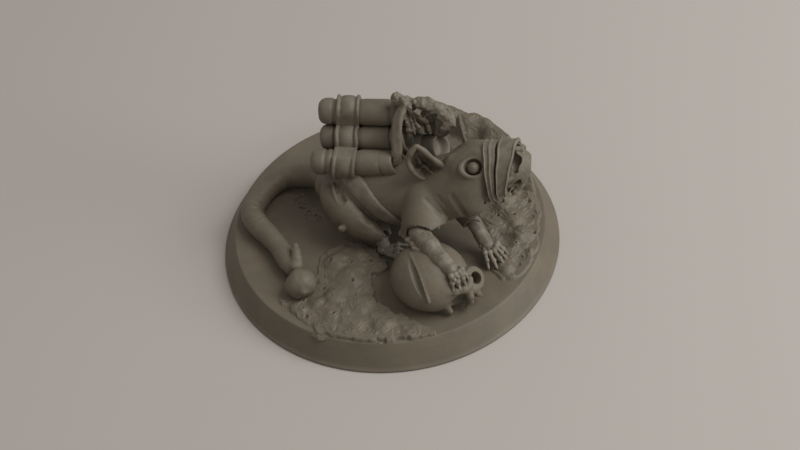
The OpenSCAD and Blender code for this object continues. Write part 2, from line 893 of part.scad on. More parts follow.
module skull_raw() {
    on_skull() {
        lump([0, 0, 0], [skull_l / 2, skull_w / 2, skull_h], [0, 0, 0], 20, 10);
        translate([0, 0, face_lift]) {
            // brow ridge
            hull()
                for (s = [-1, 1])
                    translate([socket_x - 1.1, s * 1.9, 0.9])
                        sphere(1, $fn = 10);
            // cheek bones, round the outside of each socket and down to the upper jaw
            for (s = [-1, 1])
                chain([
                    [socket_x - 1.1, s * 2.4, 0.7, 0.8], [socket_x - 0.5, s * 2.7, -0.4, 0.7],
                    [socket_x - 0.2, s * 2.1, -1.4, 0.65], [socket_x - 0.1, s * 1.1, -1.9, 0.7]
                ], 8);
            // upper jaw, sunk in the ground at its teeth
            hull() {
                translate([socket_x - 0.9, 0, 0.3])
                    sphere(1, $fn = 10);
                for (s = [-1, 1])
                    translate([socket_x, s * 0.8, -2.4])
                        sphere(0.75, $fn = 8);
            }
        }
    }
}

module skull_form() {
    difference() {
        skull_raw();
        below_floor();
    }
}

module skull() {
    color(pale_resin)
        difference() {
            skull_form();
            on_skull()
                translate([0, 0, face_lift]) {
                    for (s = [-1, 1])
                        translate([socket_x + 0.15, s * socket_y, -0.2])
                            scale([1.3, 1, 0.95])
                                sphere(socket_r, $fn = 12);
                    // the nose, a pear-shaped hole
                    hull() {
                        translate([socket_x + 0.5, 0, -0.7])
                            sphere(0.25, $fn = 8);
                        for (s = [-1, 1])
                            translate([socket_x + 0.7, s * 0.3, -1.4])
                                sphere(0.28, $fn = 8);
                    }
                }
        }
}

// ---- What is drawn --------------------------------------------------------------------------------

// All that stands on the base is measured from its floor
module on_floor() {
    translate([0, 0, base_h])
        children();
}

base_plinth();
scenic_floor();
on_floor() rubble_front();
on_floor() mound_back();
on_floor() pebble();
on_floor() torso();
on_floor() tail();
on_floor() head();
on_floor() eye_right();
on_floor() eye_left();
on_floor() ear_right();
on_floor() ear_left();
on_floor() muzzle_band_rear();
on_floor() muzzle_band_front();
on_floor() snout_end();
on_floor() chin_tuft();
on_floor() thigh_right();
on_floor() thigh_left();
on_floor() shin_right();
on_floor() shin_left();
on_floor() hind_foot_right();
on_floor() hind_foot_left();
on_floor() sleeve_right();
on_floor() sleeve_left();
on_floor() forearm_right();
on_floor() forearm_left();
on_floor() paw_right();
on_floor() paw_left();
on_floor() girth_strap();
on_floor() bundle_strap();
on_floor() stick_1();
on_floor() stick_2();
on_floor() stick_3();
on_floor() stick_4();
on_floor() stick_5();
on_floor() fuse_cord();
on_floor() fuse_knot();
on_floor() fuse_sleeve();
on_floor() skull();
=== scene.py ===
import math

import bpy
import numpy as np
from mathutils import Matrix


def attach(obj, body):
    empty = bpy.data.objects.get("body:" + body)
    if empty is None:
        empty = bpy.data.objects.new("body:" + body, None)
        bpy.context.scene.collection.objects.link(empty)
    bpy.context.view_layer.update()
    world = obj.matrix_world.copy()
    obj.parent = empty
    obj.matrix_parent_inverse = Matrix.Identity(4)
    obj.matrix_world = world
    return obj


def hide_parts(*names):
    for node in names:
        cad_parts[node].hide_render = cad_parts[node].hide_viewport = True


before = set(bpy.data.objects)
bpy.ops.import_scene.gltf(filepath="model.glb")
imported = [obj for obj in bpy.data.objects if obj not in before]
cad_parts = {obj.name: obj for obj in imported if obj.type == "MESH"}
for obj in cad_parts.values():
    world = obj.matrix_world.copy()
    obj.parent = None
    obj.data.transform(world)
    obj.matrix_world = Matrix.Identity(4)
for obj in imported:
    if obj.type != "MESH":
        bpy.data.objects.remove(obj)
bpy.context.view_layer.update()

# ---- Plinth -----------------------------------------------------------------------------------
# The foot of the print: a plain round base of cured grey resin with a sloping wall. Its first few
# layers spread on the build plate, which leaves a thin lip round the foot.

# radii and heights, in millimetres; one millimetre in metres; and colours
FOOT_R = 20.0
RIM_R = 18.3
FLOOR_Z = 3.0
PLINTH_H = 2.1
MM = 0.001
GREY = (0.135, 0.110, 0.076)
SHADOW_GREY = (0.112, 0.092, 0.065)


def grid_faces(rows, cols):
    """Quads between neighbours of a grid numbered row by row, whose last column meets its first."""
    i, j = np.meshgrid(np.arange(rows - 1), np.arange(cols), indexing="ij")
    k = (j + 1) % cols
    return np.stack([i * cols + j, (i + 1) * cols + j, (i + 1) * cols + k, i * cols + k], -1).reshape(-1, 4)


def piece(name, points, faces, sharp=None):
    """Object made from points in millimetres and a list of face arrays. The sum of corner . (corner x
    corner) over the faces is six times the volume; where it is negative the faces point inwards, and are
    turned round."""
    points = np.asarray(points, float)
    volume = 0.0
    for f in faces:
        for k in range(1, f.shape[1] - 1):
            volume += np.einsum("ij,ij->", points[f[:, 0]], np.cross(points[f[:, k]], points[f[:, k + 1]]))
    if volume < 0:
        faces = [f[:, ::-1] for f in faces]
    mesh = bpy.data.meshes.new(name)
    mesh.vertices.add(len(points))
    mesh.vertices.foreach_set("co", (points * MM).astype(np.float32).ravel())
    corners = np.concatenate([f.ravel() for f in faces]).astype(np.int32)
    sizes = np.concatenate([np.full(len(f), f.shape[1]) for f in faces])
    mesh.loops.add(len(corners))
    mesh.loops.foreach_set("vertex_index", corners)
    mesh.polygons.add(len(sizes))
    mesh.polygons.foreach_set("loop_start", np.concatenate([[0], np.cumsum(sizes)[:-1]]).astype(np.int32))
    mesh.update(calc_edges=True)
    mesh.validate()
    mesh.shade_smooth()
    if sharp:
        mesh.set_sharp_from_angle(angle=math.radians(sharp))
    obj = bpy.data.objects.new(name, mesh)
    bpy.context.scene.collection.objects.link(obj)
    return obj


def tube_mesh(rings):
    """Closed skin over rings of points, rings[i, j]: quads between them, and a fan on each end's middle."""
    n, m = rings.shape[:2]
    points = np.concatenate([rings.reshape(-1, 3), rings[0].mean(0)[None], rings[-1].mean(0)[None]])
    j = np.arange(m)
    k = (j + 1) % m
    near = np.stack([np.full(m, n * m), j, k], -1)
    far = np.stack([np.full(m, n * m + 1), (n - 1) * m + k, (n - 1) * m + j], -1)
    return points, [grid_faces(n, m), near, far]


def dense(profile, steps):
    """Points along a broken line, with the same number of equal steps on each of its stretches."""
    p = np.asarray(profile, float)
    t = np.arange(steps) / steps
    return np.concatenate([(p[:-1, None] + (p[1:] - p[:-1])[:, None] * t[:, None]).reshape(-1, p.shape[1]),
                           p[-1:]])


def circle(many):
    """Equal angles once round."""
    return np.linspace(0, 2 * np.pi, many, endpoint=False)


def turned(profile, sides):
    """Rings of a turned form: profile point (r, z) goes round the upright axis as (r cos a, r sin a, z)."""
    a = circle(sides)
    r, z = np.asarray(profile, float).T
    return np.stack([r[:, None] * np.cos(a), r[:, None] * np.sin(a), z[:, None] + 0 * a], -1)


def wall_radius(z):
    """Radius of the sloping wall at a height: a straight line from FOOT_R at 0 to RIM_R at FLOOR_Z."""
    return FOOT_R - (FOOT_R - RIM_R) * z / FLOOR_Z


def made_group(name, inputs, outputs):
    """Empty shader group with named inputs and outputs; returns it, its given values and its end."""
    group = bpy.data.node_groups.new(name, "ShaderNodeTree")
    for word, kind, value in inputs:
        socket = group.interface.new_socket(word, in_out="INPUT", socket_type="NodeSocket" + kind)
        socket.default_value = value
    for word, kind in outputs:
        group.interface.new_socket(word, in_out="OUTPUT", socket_type="NodeSocket" + kind)
    return group, group.nodes.new("NodeGroupInput").outputs, group.nodes.new("NodeGroupOutput")


def wire(tree, node, sockets):
    """Gives each named socket of a node its value: an output is linked to it, and a number is set on it."""
    for word, value in sockets.items():
        if isinstance(value, bpy.types.NodeSocket):
            tree.links.new(value, node.inputs[word])
        else:
            node.inputs[word].default_value = value


def add(tree, kind, sockets, **settings):
    """New shader node with its settings and wires; returns its outputs."""
    node = tree.nodes.new("ShaderNode" + kind)
    for word, value in settings.items():
        setattr(node, word, value)
    wire(tree, node, sockets)
    return node.outputs


def cured_tone_group():
    """Colour and roughness of cured resin: a slow mottle between two greys, and a dusting of pale specks."""
    inputs = [("Light grey", "Color", (*GREY, 1)), ("Dark grey", "Color", (*SHADOW_GREY, 1)),
              ("Mottle size", "Float", 700.0), ("Dust", "Float", 0.25)]
    group, given, end = made_group("cured_tone", inputs, [("Colour", "Color"), ("Roughness", "Float")])
    where = add(group, "TexCoord", {})["Object"]
    slow = add(group, "TexNoise", {"Detail": 5, "Roughness": 0.6, "Vector": where,
                                   "Scale": given["Mottle size"]})["Fac"]
    span = add(group, "MapRange", {"From Min": 0.36, "From Max": 0.62, "Value": slow})["Result"]
    grey = add(group, "Mix", {"Factor": span, 6: given["Dark grey"], 7: given["Light grey"]},
               data_type="RGBA")[2]
    fine = add(group, "TexNoise", {"Scale": 9000, "Detail": 2, "Vector": where})["Fac"]
    specks = add(group, "MapRange", {"From Min": 0.55, "From Max": 0.75, "Value": fine})["Result"]
    share = add(group, "Math", {0: specks, 1: given["Dust"]}, operation="MULTIPLY")["Value"]
    pale = (0.27, 0.245, 0.205, 1)
    dusted = add(group, "Mix", {7: pale, "Factor": share, 6: grey}, data_type="RGBA")[2]
    rough = add(group, "MapRange", {"To Min": 0.50, "To Max": 0.64, "Value": slow})["Result"]
    wire(group, end, {"Colour": dusted, "Roughness": rough})
    return group


def print_layers_group():
    """Height of the print's surface: a faint triangle wave, one to a layer up the Z axis, plus grain."""
    inputs = [("Layer height", "Float", 0.0001), ("Layers", "Float", 0.5), ("Grain size", "Float", 5000.0),
              ("Grain", "Float", 0.4)]
    group, given, end = made_group("print_layers", inputs, [("Height", "Float")])
    where = add(group, "TexCoord", {})["Object"]
    up = add(group, "SeparateXYZ", {"Vector": where})["Z"]
    count = add(group, "Math", {0: up, 1: given["Layer height"]}, operation="DIVIDE")["Value"]
    tooth = add(group, "Math", {1: 0.5, 0: count}, operation="PINGPONG")["Value"]
    grain = add(group, "TexNoise", {"Detail": 3, "Vector": where, "Scale": given["Grain size"]})["Fac"]
    lines = add(group, "Math", {0: tooth, 1: given["Layers"]}, operation="MULTIPLY")["Value"]
    both = add(group, "Math", {0: grain, 1: given["Grain"], 2: lines}, operation="MULTIPLY_ADD")["Value"]
    wire(group, end, {"Height": both})
    return group


CURED_TONE = cured_tone_group()
PRINT_LAYERS = print_layers_group()


def resin(name, dust, light=GREY, mottle=700.0, layers=0.5, grain=0.4):
    """Cured resin: the tone group gives its colour and roughness, and the layer group its relief."""
    material = bpy.data.materials.new(name)
    material.use_nodes = True
    tree = material.node_tree
    tone = add(tree, "Group", {"Light grey": (*light, 1), "Dark grey": (*SHADOW_GREY, 1),
                               "Mottle size": mottle, "Dust": dust}, node_tree=CURED_TONE)
    relief = add(tree, "Group", {"Layers": layers, "Grain": grain}, node_tree=PRINT_LAYERS)["Height"]
    bumps = add(tree, "Bump", {"Strength": 0.5, "Distance": 0.02 * MM, "Height": relief})["Normal"]
    wire(tree, tree.nodes["Principled BSDF"], {"Base Color": tone["Colour"], "Roughness": tone["Roughness"],
                                               "Normal": bumps, "Specular IOR Level": 0.4})
    return material


def printed(obj, material, slot, *nodes):
    """Gives a piece its resin, fixes it to the print's one body, and hides the solids it stands for."""
    obj.data.materials.append(material)
    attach(obj, "root")
    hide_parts(*nodes)
    return obj


# profile points (radius, height): the lip of the first layers, the wall above it, and the top
lip = [[0.02, 0], [19.6, 0], [19.92, 0.02], [FOOT_R, 0.1], [19.985, 0.26], [19.87, 0.36]]
wall = [[wall_radius(0.45), 0.45], [wall_radius(PLINTH_H), PLINTH_H]]
plinth_profile = np.concatenate([dense(lip, 3), dense(wall, 8), [[0.02, PLINTH_H]]])
plinth = piece("plinth", *tube_mesh(turned(plinth_profile, 256)), sharp=40)
printed(plinth, resin("plinth_resin", mottle=260, dust=0.1, layers=0.8, grain=0.3), "base", "base_plinth")

# ---- Ground -----------------------------------------------------------------------------------
# The flat floor inside the rim, part of the same print: smooth, with a small patch of pin pricks
# inside the tail's curl and very shallow unevenness where supports were cut away.

CURL_PATCH = np.array([[-12.1, 3.0], [-11.5, 2.4], [-10.9, 2.0], [-10.3, 1.4], [-9.7, 0.9], [-9.1, 0.4],
                       [-8.5, 0.0]])
PRICKS = 46
NOISE_CELLS = 32


def noise(x, y, z, size, seed):
    """Smooth random values about -1 to 1: random numbers on a lattice of the given size, blended over each
    cell with the fade 3t^2 - 2t^3 along all three axes."""
    values = np.random.default_rng(seed).uniform(-1, 1, [NOISE_CELLS] * 3).astype(np.float32)
    total = 0
    cell, fade = [], []
    keep_positive = 400.0
    for c in (x, y, z):
        q = np.asarray(c) / size + keep_positive
        whole = np.floor(q)
        t = (q - whole).astype(np.float32)
        cell.append(whole.astype(np.int32))
        fade.append(t * t * (3 - 2 * t))
    for corner in range(8):
        bits = [(corner >> axis) & 1 for axis in range(3)]
        weight = 1
        for axis in range(3):
            weight = weight * (fade[axis] if bits[axis] else 1 - fade[axis])
        i, j, k = [(cell[axis] + bits[axis]) % NOISE_CELLS for axis in range(3)]
        total = total + weight * values[i, j, k]
    return total


def flat_noise(x, y, size, seed):
    """Smooth random values over the plane z = 0."""
    return noise(x, y, 0 * x, size, seed)


def floor_height(x, y):
    """Floor level, less a small pit at each of some seeded points round the patch line."""
    rng = np.random.default_rng(7)
    h = 0.03 * flat_noise(x, y, 2.6, 3)
    middles = CURL_PATCH[rng.integers(0, len(CURL_PATCH), PRICKS)] + rng.normal(0, 0.5, (PRICKS, 2))
    for px, py in middles:
        h = h - rng.uniform(0.08, 0.2) * np.exp(-((x - px) ** 2 + (y - py) ** 2) / rng.uniform(0.008, 0.02))
    return h


# profile points (radius, height), closest together in the ring where the patch lies
rim = [[wall_radius(PLINTH_H), PLINTH_H], [wall_radius(2.88), 2.88], [RIM_R, 2.97], [18.2, FLOOR_Z]]
floor_profile = np.concatenate([
    [[0.02, PLINTH_H]], dense(rim, 2), dense([[18.0, FLOOR_Z], [13.6, FLOOR_Z]], 22),
    dense([[13.6, FLOOR_Z], [7.0, FLOOR_Z]], 88), dense([[7.0, FLOOR_Z], [0.02, FLOOR_Z]], 16)])
floor_rings = turned(floor_profile, 720)
inside = (np.hypot(floor_rings[..., 0], floor_rings[..., 1]) < 17.9) & (floor_rings[..., 2] > 2.99)
floor_rings[..., 2] += np.where(inside, floor_height(floor_rings[..., 0], floor_rings[..., 1]), 0)
ground = piece("ground", *tube_mesh(floor_rings), sharp=40)
printed(ground, resin("floor_resin", mottle=300, dust=0.12, layers=0.0, grain=0.5), "ground",
        "scenic_floor")

# ---- Rubble -----------------------------------------------------------------------------------
# Broken ground at the front, cast in one with the floor: low domes and pits, with the rings that
# thin print layers leave on a shallow slope. It ends in a small ragged cliff.

FRONT_OUTLINE = RIM_R * np.array([[-0.66, -0.66], [-0.34, -0.94], [-0.24, -0.965], [0.04, -0.99],
                                  [0.22, -0.965], [0.385, -0.9], [0.19, -0.79], [0.03, -0.69],
                                  [-0.04, -0.52], [0.05, -0.4], [-0.09, -0.25], [-0.27, -0.21],
                                  [-0.38, -0.33], [-0.41, -0.49], [-0.39, -0.62], [-0.5, -0.71]])
# low domes: x, y, radius, height
FRONT_DOMES = [(-5.3, -7.2, 1.5, 0.55), (-3.2, -9.6, 1.8, 0.6), (-4.6, -12.4, 1.5, 0.5),
               (-1.4, -13.4, 1.7, 0.4), (-8.3, -14.0, 1.2, 0.4), (1.2, -15.4, 1.6, 0.3),
               (-2.6, -6.2, 1.2, 0.45), (-6.6, -13.2, 1.1, 0.35), (-0.9, -8.4, 0.9, 0.3),
               (4.4, -16.6, 1.2, 0.25)]
# pits: x, y, radius, depth
FRONT_PITS = [(-5.8, -7.4, 0.13, 0.5), (-1.2, -7.0, 0.16, 0.5), (-8.9, -15.3, 0.2, 0.4),
              (-8.1, -13.0, 0.13, 0.35), (-2.8, -10.4, 0.15, 0.4), (-4.0, -8.9, 0.1, 0.3),
              (-6.1, -11.2, 0.12, 0.35), (-9.9, -13.2, 0.12, 0.3), (-7.3, -15.2, 0.16, 0.35),
              (-2.3, -12.2, 0.12, 0.3), (-4.3, -14.9, 0.14, 0.35), (-0.6, -9.9, 0.1, 0.3),
              (-6.3, -9.5, 0.1, 0.3), (-11.2, -12.6, 0.12, 0.3), (-3.4, -7.4, 0.12, 0.35),
              (-9.4, -14.3, 0.1, 0.3), (-10.6, -13.6, 0.1, 0.3), (-7.9, -14.2, 0.1, 0.3),
              (-8.6, -13.7, 0.08, 0.3), (-10.0, -14.6, 0.1, 0.3)]


def between(a, b, c, d, steps):
    """Points from each b towards its c, bent by a before and d after:
    b + t/2((c-a) + t((2a-5b+4c-d) + t(3b-a-3c+d)))."""
    a, b, c, d = (row[:, None] for row in (a, b, c, d))
    t = (np.arange(steps) / steps)[None, :, None]
    out = b + t / 2 * ((c - a) + t * ((2 * a - 5 * b + 4 * c - d) + t * (3 * b - a - 3 * c + d)))
    return out.reshape(-1, out.shape[-1])


def smooth_outline(p, steps):
    """Closed smooth curve through a ring of points."""
    return between(*(np.roll(p, k, axis=0) for k in (1, 0, -1, -2)), steps)


def depth_inside(x, y, outline):
    """Least distance to an outline's edges, positive inside, where a sideways ray crosses an odd number."""
    least = np.full(x.shape, 1e9)
    crossings = np.zeros(x.shape, int)
    for (ax, ay), (bx, by) in zip(outline, np.roll(outline, -1, axis=0)):
        ex, ey = bx - ax, by - ay
        t = np.clip(((x - ax) * ex + (y - ay) * ey) / (ex * ex + ey * ey), 0, 1)
        least = np.minimum(least, np.hypot(x - ax - t * ex, y - ay - t * ey))
        over = (ay > y) != (by > y)
        crossings += over & (x < ax + (y - ay) * ex / (ey if ey else 1e-9))
    return np.where(crossings % 2 == 1, least, -least)


def ramp(t, low, high):
    """0 below low, 1 above high, and 3t^2 - 2t^3 between."""
    t = np.clip((t - low) / (high - low), 0, 1)
    return t * t * (3 - 2 * t)


def ringed(h, step, sharpness):
    """Height cut into printed layers: flat treads of one step, with a riser in the middle of each."""
    q = h / step
    whole = np.floor(q)
    return step * (whole + ramp(q - whole, 0.5 - sharpness, 0.5 + sharpness))


def land_piece(name, outline, height, pitch):
    """Block of land over an outline: a square grid of points, kept inside it and within reach of it, and
    lifted to the height function, with a flat underside in the floor and walls where the cells end."""
    reach, sunk = 0.3, 0.5
    low, high = outline.min(0) - reach, outline.max(0) + reach
    xs, ys = np.arange(low[0], high[0], pitch), np.arange(low[1], high[1], pitch)
    x, y = np.meshgrid(xs, ys, indexing="ij")
    deep = depth_inside(x, y, outline)
    z = FLOOR_Z + height(x, y, deep)
    rows, cols = x.shape
    kept = deep > -reach
    cells = kept[:-1, :-1] & kept[1:, :-1] & kept[:-1, 1:] & kept[1:, 1:]
    number = np.arange(rows * cols).reshape(rows, cols)
    corner = np.stack([number[:-1, :-1], number[1:, :-1], number[1:, 1:], number[:-1, 1:]], -1)
    top = corner[cells]
    faces = [top, top[:, ::-1] + rows * cols]
    pad = np.pad(cells, 1)
    for side, (a, b) in (((0, 1), (3, 0)), ((2, 1), (1, 2)), ((1, 0), (0, 1)), ((1, 2), (2, 3))):
        beside = pad[side[0]:side[0] + rows - 1, side[1]:side[1] + cols - 1]
        edge = corner[cells & ~beside]
        first, last = edge[:, a], edge[:, b]
        faces.append(np.stack([last, first, first + rows * cols, last + rows * cols], -1))
    points = np.stack([np.stack([x, y, level], -1) for level in (z, 0 * x + FLOOR_Z - sunk)]).reshape(-1, 3)
    used, faces_flat = np.unique(np.concatenate([f.ravel() for f in faces]), return_inverse=True)
    cut, out = 0, []
    for f in faces:
        out.append(faces_flat[cut:cut + f.size].reshape(f.shape))
        cut += f.size
    return piece(name, points[used], out)


def domed(h, x, y, domes, power):
    """Height plus top (1 - (d/r)^2)^power over each dome (x, y, radius, top), d from its middle."""
    for cx, cy, r, top in domes:
        h = h + top * np.clip(1 - ((x - cx) ** 2 + (y - cy) ** 2) / r ** 2, 0, None) ** power
    return h


def pricked(h, x, y, pits, rough):
    """Height less depth exp(-(d/r)^2), plus a thin lip, at each pit (x, y, radius, depth); d is roughened."""
    for cx, cy, r, down in pits:
        d = np.hypot(x - cx, y - cy) * rough
        h = h - down * np.exp(-(d / r) ** 2) + 0.05 * np.exp(-((d - 2.2 * r) / (0.5 * r + 0.03)) ** 2)
    return h


def front_height(x, y, deep):
    """Height of the rubble: a ragged bank, plus domes, cut into layer rings, less thin-lipped pits."""
    ragged = deep + 0.35 * flat_noise(x, y, 0.8, 11) + 0.12 * flat_noise(x, y, 0.3, 12)
    bank = 0.22 + 0.30 * ramp(x, -8.0, -2.0)
    h = bank * ramp(ragged, 0.0, 0.5 - 0.3 * ramp(x, -8.0, -2.0)) + 0.16 * ramp(deep, 0.8, 2.4)
    h = h + ramp(deep, 0.2, 1.0) * (0.16 * flat_noise(x, y, 1.5, 13) + 0.08 * flat_noise(x, y, 0.6, 14))
    h = domed(h, x, y, [(cx, cy, r, top * 0.8) for cx, cy, r, top in FRONT_DOMES], 1.3)
    h = np.where(h > 0.15, 0.15 + ringed(h - 0.15, 0.085, 0.12), h)
    h = pricked(h, x, y, FRONT_PITS, 1 + 0.35 * flat_noise(x, y, 0.35, 15))
    return np.where(deep < -0.1, -0.2, h - 0.06)


rubble = land_piece("rubble", smooth_outline(FRONT_OUTLINE, 6), front_height, 0.075)
printed(rubble, resin("rubble_resin", mottle=900, dust=0.3, layers=0.0, grain=0.9), "ground",
        "rubble_front")

# ---- Mound ------------------------------------------------------------------------------------
# Rocky ground that climbs from the right-hand rim to a ridge of boulders behind the rat. Each
# layer of the print shows as a contour ring, and some rings close round a pit.

BACK_OUTLINE = RIM_R * np.array([[0.54, 0.06], [0.6, -0.2], [0.68, -0.42], [0.83, -0.48], [0.95, -0.26],
                                 [0.975, 0.03], [0.92, 0.33], [0.83, 0.53], [0.67, 0.72], [0.47, 0.86],
                                 [0.27, 0.94], [0.06, 0.95], [0.02, 0.72], [0.14, 0.44], [0.36, 0.24]])
# boulders of the ridge: x, y, radius, top above the floor
BOULDERS = [(2.2, 16.3, 1.6, 2.5), (4.6, 15.9, 2.1, 3.9), (7.2, 14.9, 2.2, 3.6), (9.8, 13.5, 2.2, 4.1),
            (12.1, 12.0, 2.2, 3.9), (14.1, 9.7, 2.0, 3.4), (15.7, 7.2, 1.7, 2.9), (10.6, 9.8, 2.0, 2.7),
            (7.4, 11.0, 2.4, 2.4), (3.6, 12.2, 2.0, 1.9)]
# rings of contour lines that close round a pit or a low dome: x, y, radius, height
BACK_RINGS = [(14.5, 0.4, 1.4, 0.35), (12.0, -2.0, 1.0, 0.3), (13.9, -3.2, 1.2, -0.4),
              (15.9, -2.0, 1.3, 0.4), (15.6, -5.0, 1.1, -0.35), (14.2, -7.0, 1.1, 0.3),
              (16.4, 1.2, 1.0, -0.3), (13.3, 3.4, 1.5, 0.4), (15.2, 4.2, 1.0, -0.35),
              (11.9, 1.0, 1.2, -0.3), (12.4, -4.6, 0.9, 0.25), (11.6, 5.6, 1.3, 0.3)]
# pits, all of one depth: x, y, radius
BACK_PITS = [(12.0, -3.4, 0.16), (15.6, -5.3, 0.18), (17.0, -1.6, 0.16), (14.6, 0.6, 0.14),
             (13.2, 2.4, 0.14), (16.2, 3.2, 0.15), (12.6, 5.0, 0.14), (16.0, 6.0, 0.12), (13.6, -5.2, 0.12),
             (15.0, -3.4, 0.1), (14.2, 3.9, 0.12), (12.8, 0.6, 0.1)]


def back_height(x, y, deep):
    """Height of the mound: a slope towards the ridge, the soft maximum of the boulders, closed rings and a
    knoll, all cut into layer rings, less the pits."""
    h = 0.30 * ramp(deep + 0.25 * flat_noise(x, y, 0.8, 21), 0.0, 0.4) + 0.3 * ramp(deep, 0.5, 3.0)
    to_ridge = np.clip(1 - np.hypot(x - 10.0, y - 13.5) / 15.5, 0, 1)
    h = h + 1.9 * to_ridge ** 1.2 * ramp(deep, 0.0, 1.4)
    rocks = 0 * x
    for cx, cy, r, top in BOULDERS:
        d = np.hypot(x - cx, y - cy) + 0.35 * r * flat_noise(x, y, 0.9 * r, int(31 + 10 * cx))
        rocks = rocks + (top * np.clip(1 - (np.clip(d, 0, None) / (1.45 * r)) ** 2.4, 0, None) ** 0.8) ** 4
    over = 0.93 * rocks ** 0.25 - h
    h = h + np.where(over > 0, over, 0) * ramp(deep, -0.1, 0.5)
    broad = 0.22 * flat_noise(x, y, 1.7, 22) * ramp(deep, 0.2, 1.2)
    h = h + broad + 0.10 * flat_noise(x, y, 0.7, 23) * ramp(deep, 0.2, 0.8)
    h = domed(h, x, y, BACK_RINGS, 1.2)
    knoll = np.clip(1 - ((x - 11.8) ** 2 + (y - 8.2) ** 2) / 9.0, 0, None)
    h = h + knoll ** 1.2 * ramp(deep, -0.1, 0.6)
    h = np.where(h > 0.15, 0.15 + ringed(h - 0.15, 0.13, 0.1), h)
    h = pricked(h, x, y, [(*pit, 0.4) for pit in BACK_PITS], 1 + 0.3 * flat_noise(x, y, 0.4, 24))
    return np.where(deep < -0.1, -0.2, h - 0.06)


mound = land_piece("mound", smooth_outline(BACK_OUTLINE, 6), back_height, 0.085)
printed(mound, resin("mound_resin", mottle=800, dust=0.22, layers=0.0, grain=0.9), "ground", "mound_back")

# ---- Pebble -----------------------------------------------------------------------------------
# A smooth round stone at the tip of the tail, in the same resin as the base. It is cast with the
# base and settled a little into the floor.


def egg(p, middle, radii, turn=0.0):
    """Ellipsoid turned about the upright axis: distance k1(k1 - 1)/k2 with k1 = |q/r|, k2 = |q/r^2|."""
    c, s = math.cos(math.radians(turn)), math.sin(math.radians(turn))
    q = p - np.asarray(middle, float)
    q = np.stack([c * q[:, 0] + s * q[:, 1], c * q[:, 1] - s * q[:, 0], q[:, 2]], 1)
    r = np.asarray(radii, float)
    k1, k2 = np.linalg.norm(q / r, axis=1), np.linalg.norm(q / r ** 2, axis=1)
    return k1 * (k1 - 1) / np.maximum(k2, 1e-6)


def melt(a, b, k):
    """Soft minimum: two forms run into each other over a fillet of size k."""
    h = np.clip(0.5 + 0.5 * (b - a) / k, 0, 1)
    return b + (a - b) * h - k * h * (1 - h)


def lumps(p, size, seed):
    """Smooth random values at points in space."""
    return noise(*p.T, size, seed)


def skin_points(field, low, high, step):
    """Closed surface where a field of distances is zero. The field is read on a coarse grid, then finely in
    the coarse cells near zero; each fine cell that the surface crosses gets a point at the mean of its edge
    crossings, the four cells round each crossed edge give a quad, and one Newton step -d g/|g|^2 sets the
    points on the surface."""
    low, high = np.asarray(low, float), np.asarray(high, float)
    fine, batch = 4, 400000
    many = np.ceil((high - low) / (fine * step)).astype(int)
    mids = [low[a] + (np.arange(many[a]) + 0.5) * fine * step for a in range(3)]
    rough = field(np.stack(np.meshgrid(*mids, indexing="ij"), -1).reshape(-1, 3))
    near = (np.abs(rough) < fine * step * 1.5 + 0.25).reshape(many)
    f = np.where(rough > 0, 1.0, -1.0).reshape(many)
    for axis in range(3):
        f, near = np.repeat(f, fine, axis), np.repeat(near, fine, axis)
    at = np.argwhere(near)
    for cut in range(0, len(at), batch):
        part = at[cut:cut + batch]
        f[tuple(part.T)] = field(low + (part + 0.5) * step)
    f[[0, -1]], f[:, [0, -1]], f[:, :, [0, -1]] = 1.0, 1.0, 1.0
    inner = f < 0
    ends = [(slice(0, -1), slice(1, None))] * 3
    count = sum(inner[i, j, k].astype(np.int8) for i in ends[0] for j in ends[1] for k in ends[2])
    active = (count > 0) & (count < 8)
    cells = np.argwhere(active)
    number = np.full(active.shape, -1)
    number[active] = np.arange(len(cells))
    total, hits = np.zeros((len(cells), 3)), np.zeros(len(cells))
    faces = []
    for axis in range(3):
        u, v = (axis + 1) % 3, (axis + 2) % 3
        ahead, along_u, along_v = np.eye(3, dtype=int)[[axis, u, v]]
        for du, dv in ((0, 0), (0, 1), (1, 0), (1, 1)):
            a = cells + du * along_u + dv * along_v
            fa, fb = f[tuple(a.T)], f[tuple((a + ahead).T)]
            cross = (fa < 0) != (fb < 0)
            t = np.where(cross, fa / np.where(cross, fa - fb, 1), 0)
            total += (a + t[:, None] * ahead) * cross[:, None]
            hits += cross
        edge = np.argwhere(np.diff(inner, axis=axis))
        round_edge = [edge + du * along_u + dv * along_v for du, dv in ((0, 0), (-1, 0), (-1, -1), (0, -1))]
        quad = np.stack([number[tuple(cell.T)] for cell in round_edge], 1)
        faces.append(np.where(inner[tuple(edge.T)][:, None], quad, quad[:, ::-1]))
    points = low + (total / hits[:, None] + 0.5) * step
    e = 0.25 * step
    slope = np.stack([(field(points + e * d) - field(points - e * d)) / (2 * e) for d in np.eye(3)], 1)
    move = -field(points)[:, None] * slope / np.maximum((slope ** 2).sum(1), 0.04)[:, None]
    length = np.linalg.norm(move, axis=1, keepdims=True)
    points = points + move * np.minimum(1, 0.6 * step / np.maximum(length, 1e-9))
    return points, [np.concatenate(faces)]


def cast(name, field, low, high, step, material, slot, *nodes):
    """Printed piece with a field's closed surface, for the named solids or the one of its own name."""
    return printed(piece(name, *skin_points(field, low, high, step)), material, slot, *(nodes or [name]))


def pebble_field(p):
    """Two eggs melted together, with shallow dents."""
    dents = 0.16 * lumps(p, 1.1, 41) + 0.03 * lumps(p, 0.4, 42)
    return melt(egg(p, (-8.4, -11.45, 4.2), (1.8, 1.6, 1.55), 25),
                egg(p, (-8.7, -11.0, 4.5), (1.2, 1.1, 1.1)), 0.5) + dents


cast("pebble", pebble_field, (-10.8, -13.7, 2.4), (-6.2, -9.5, 6.0), 0.07,
     resin("pebble_resin", mottle=600, dust=0.15, layers=0.3), "ground")

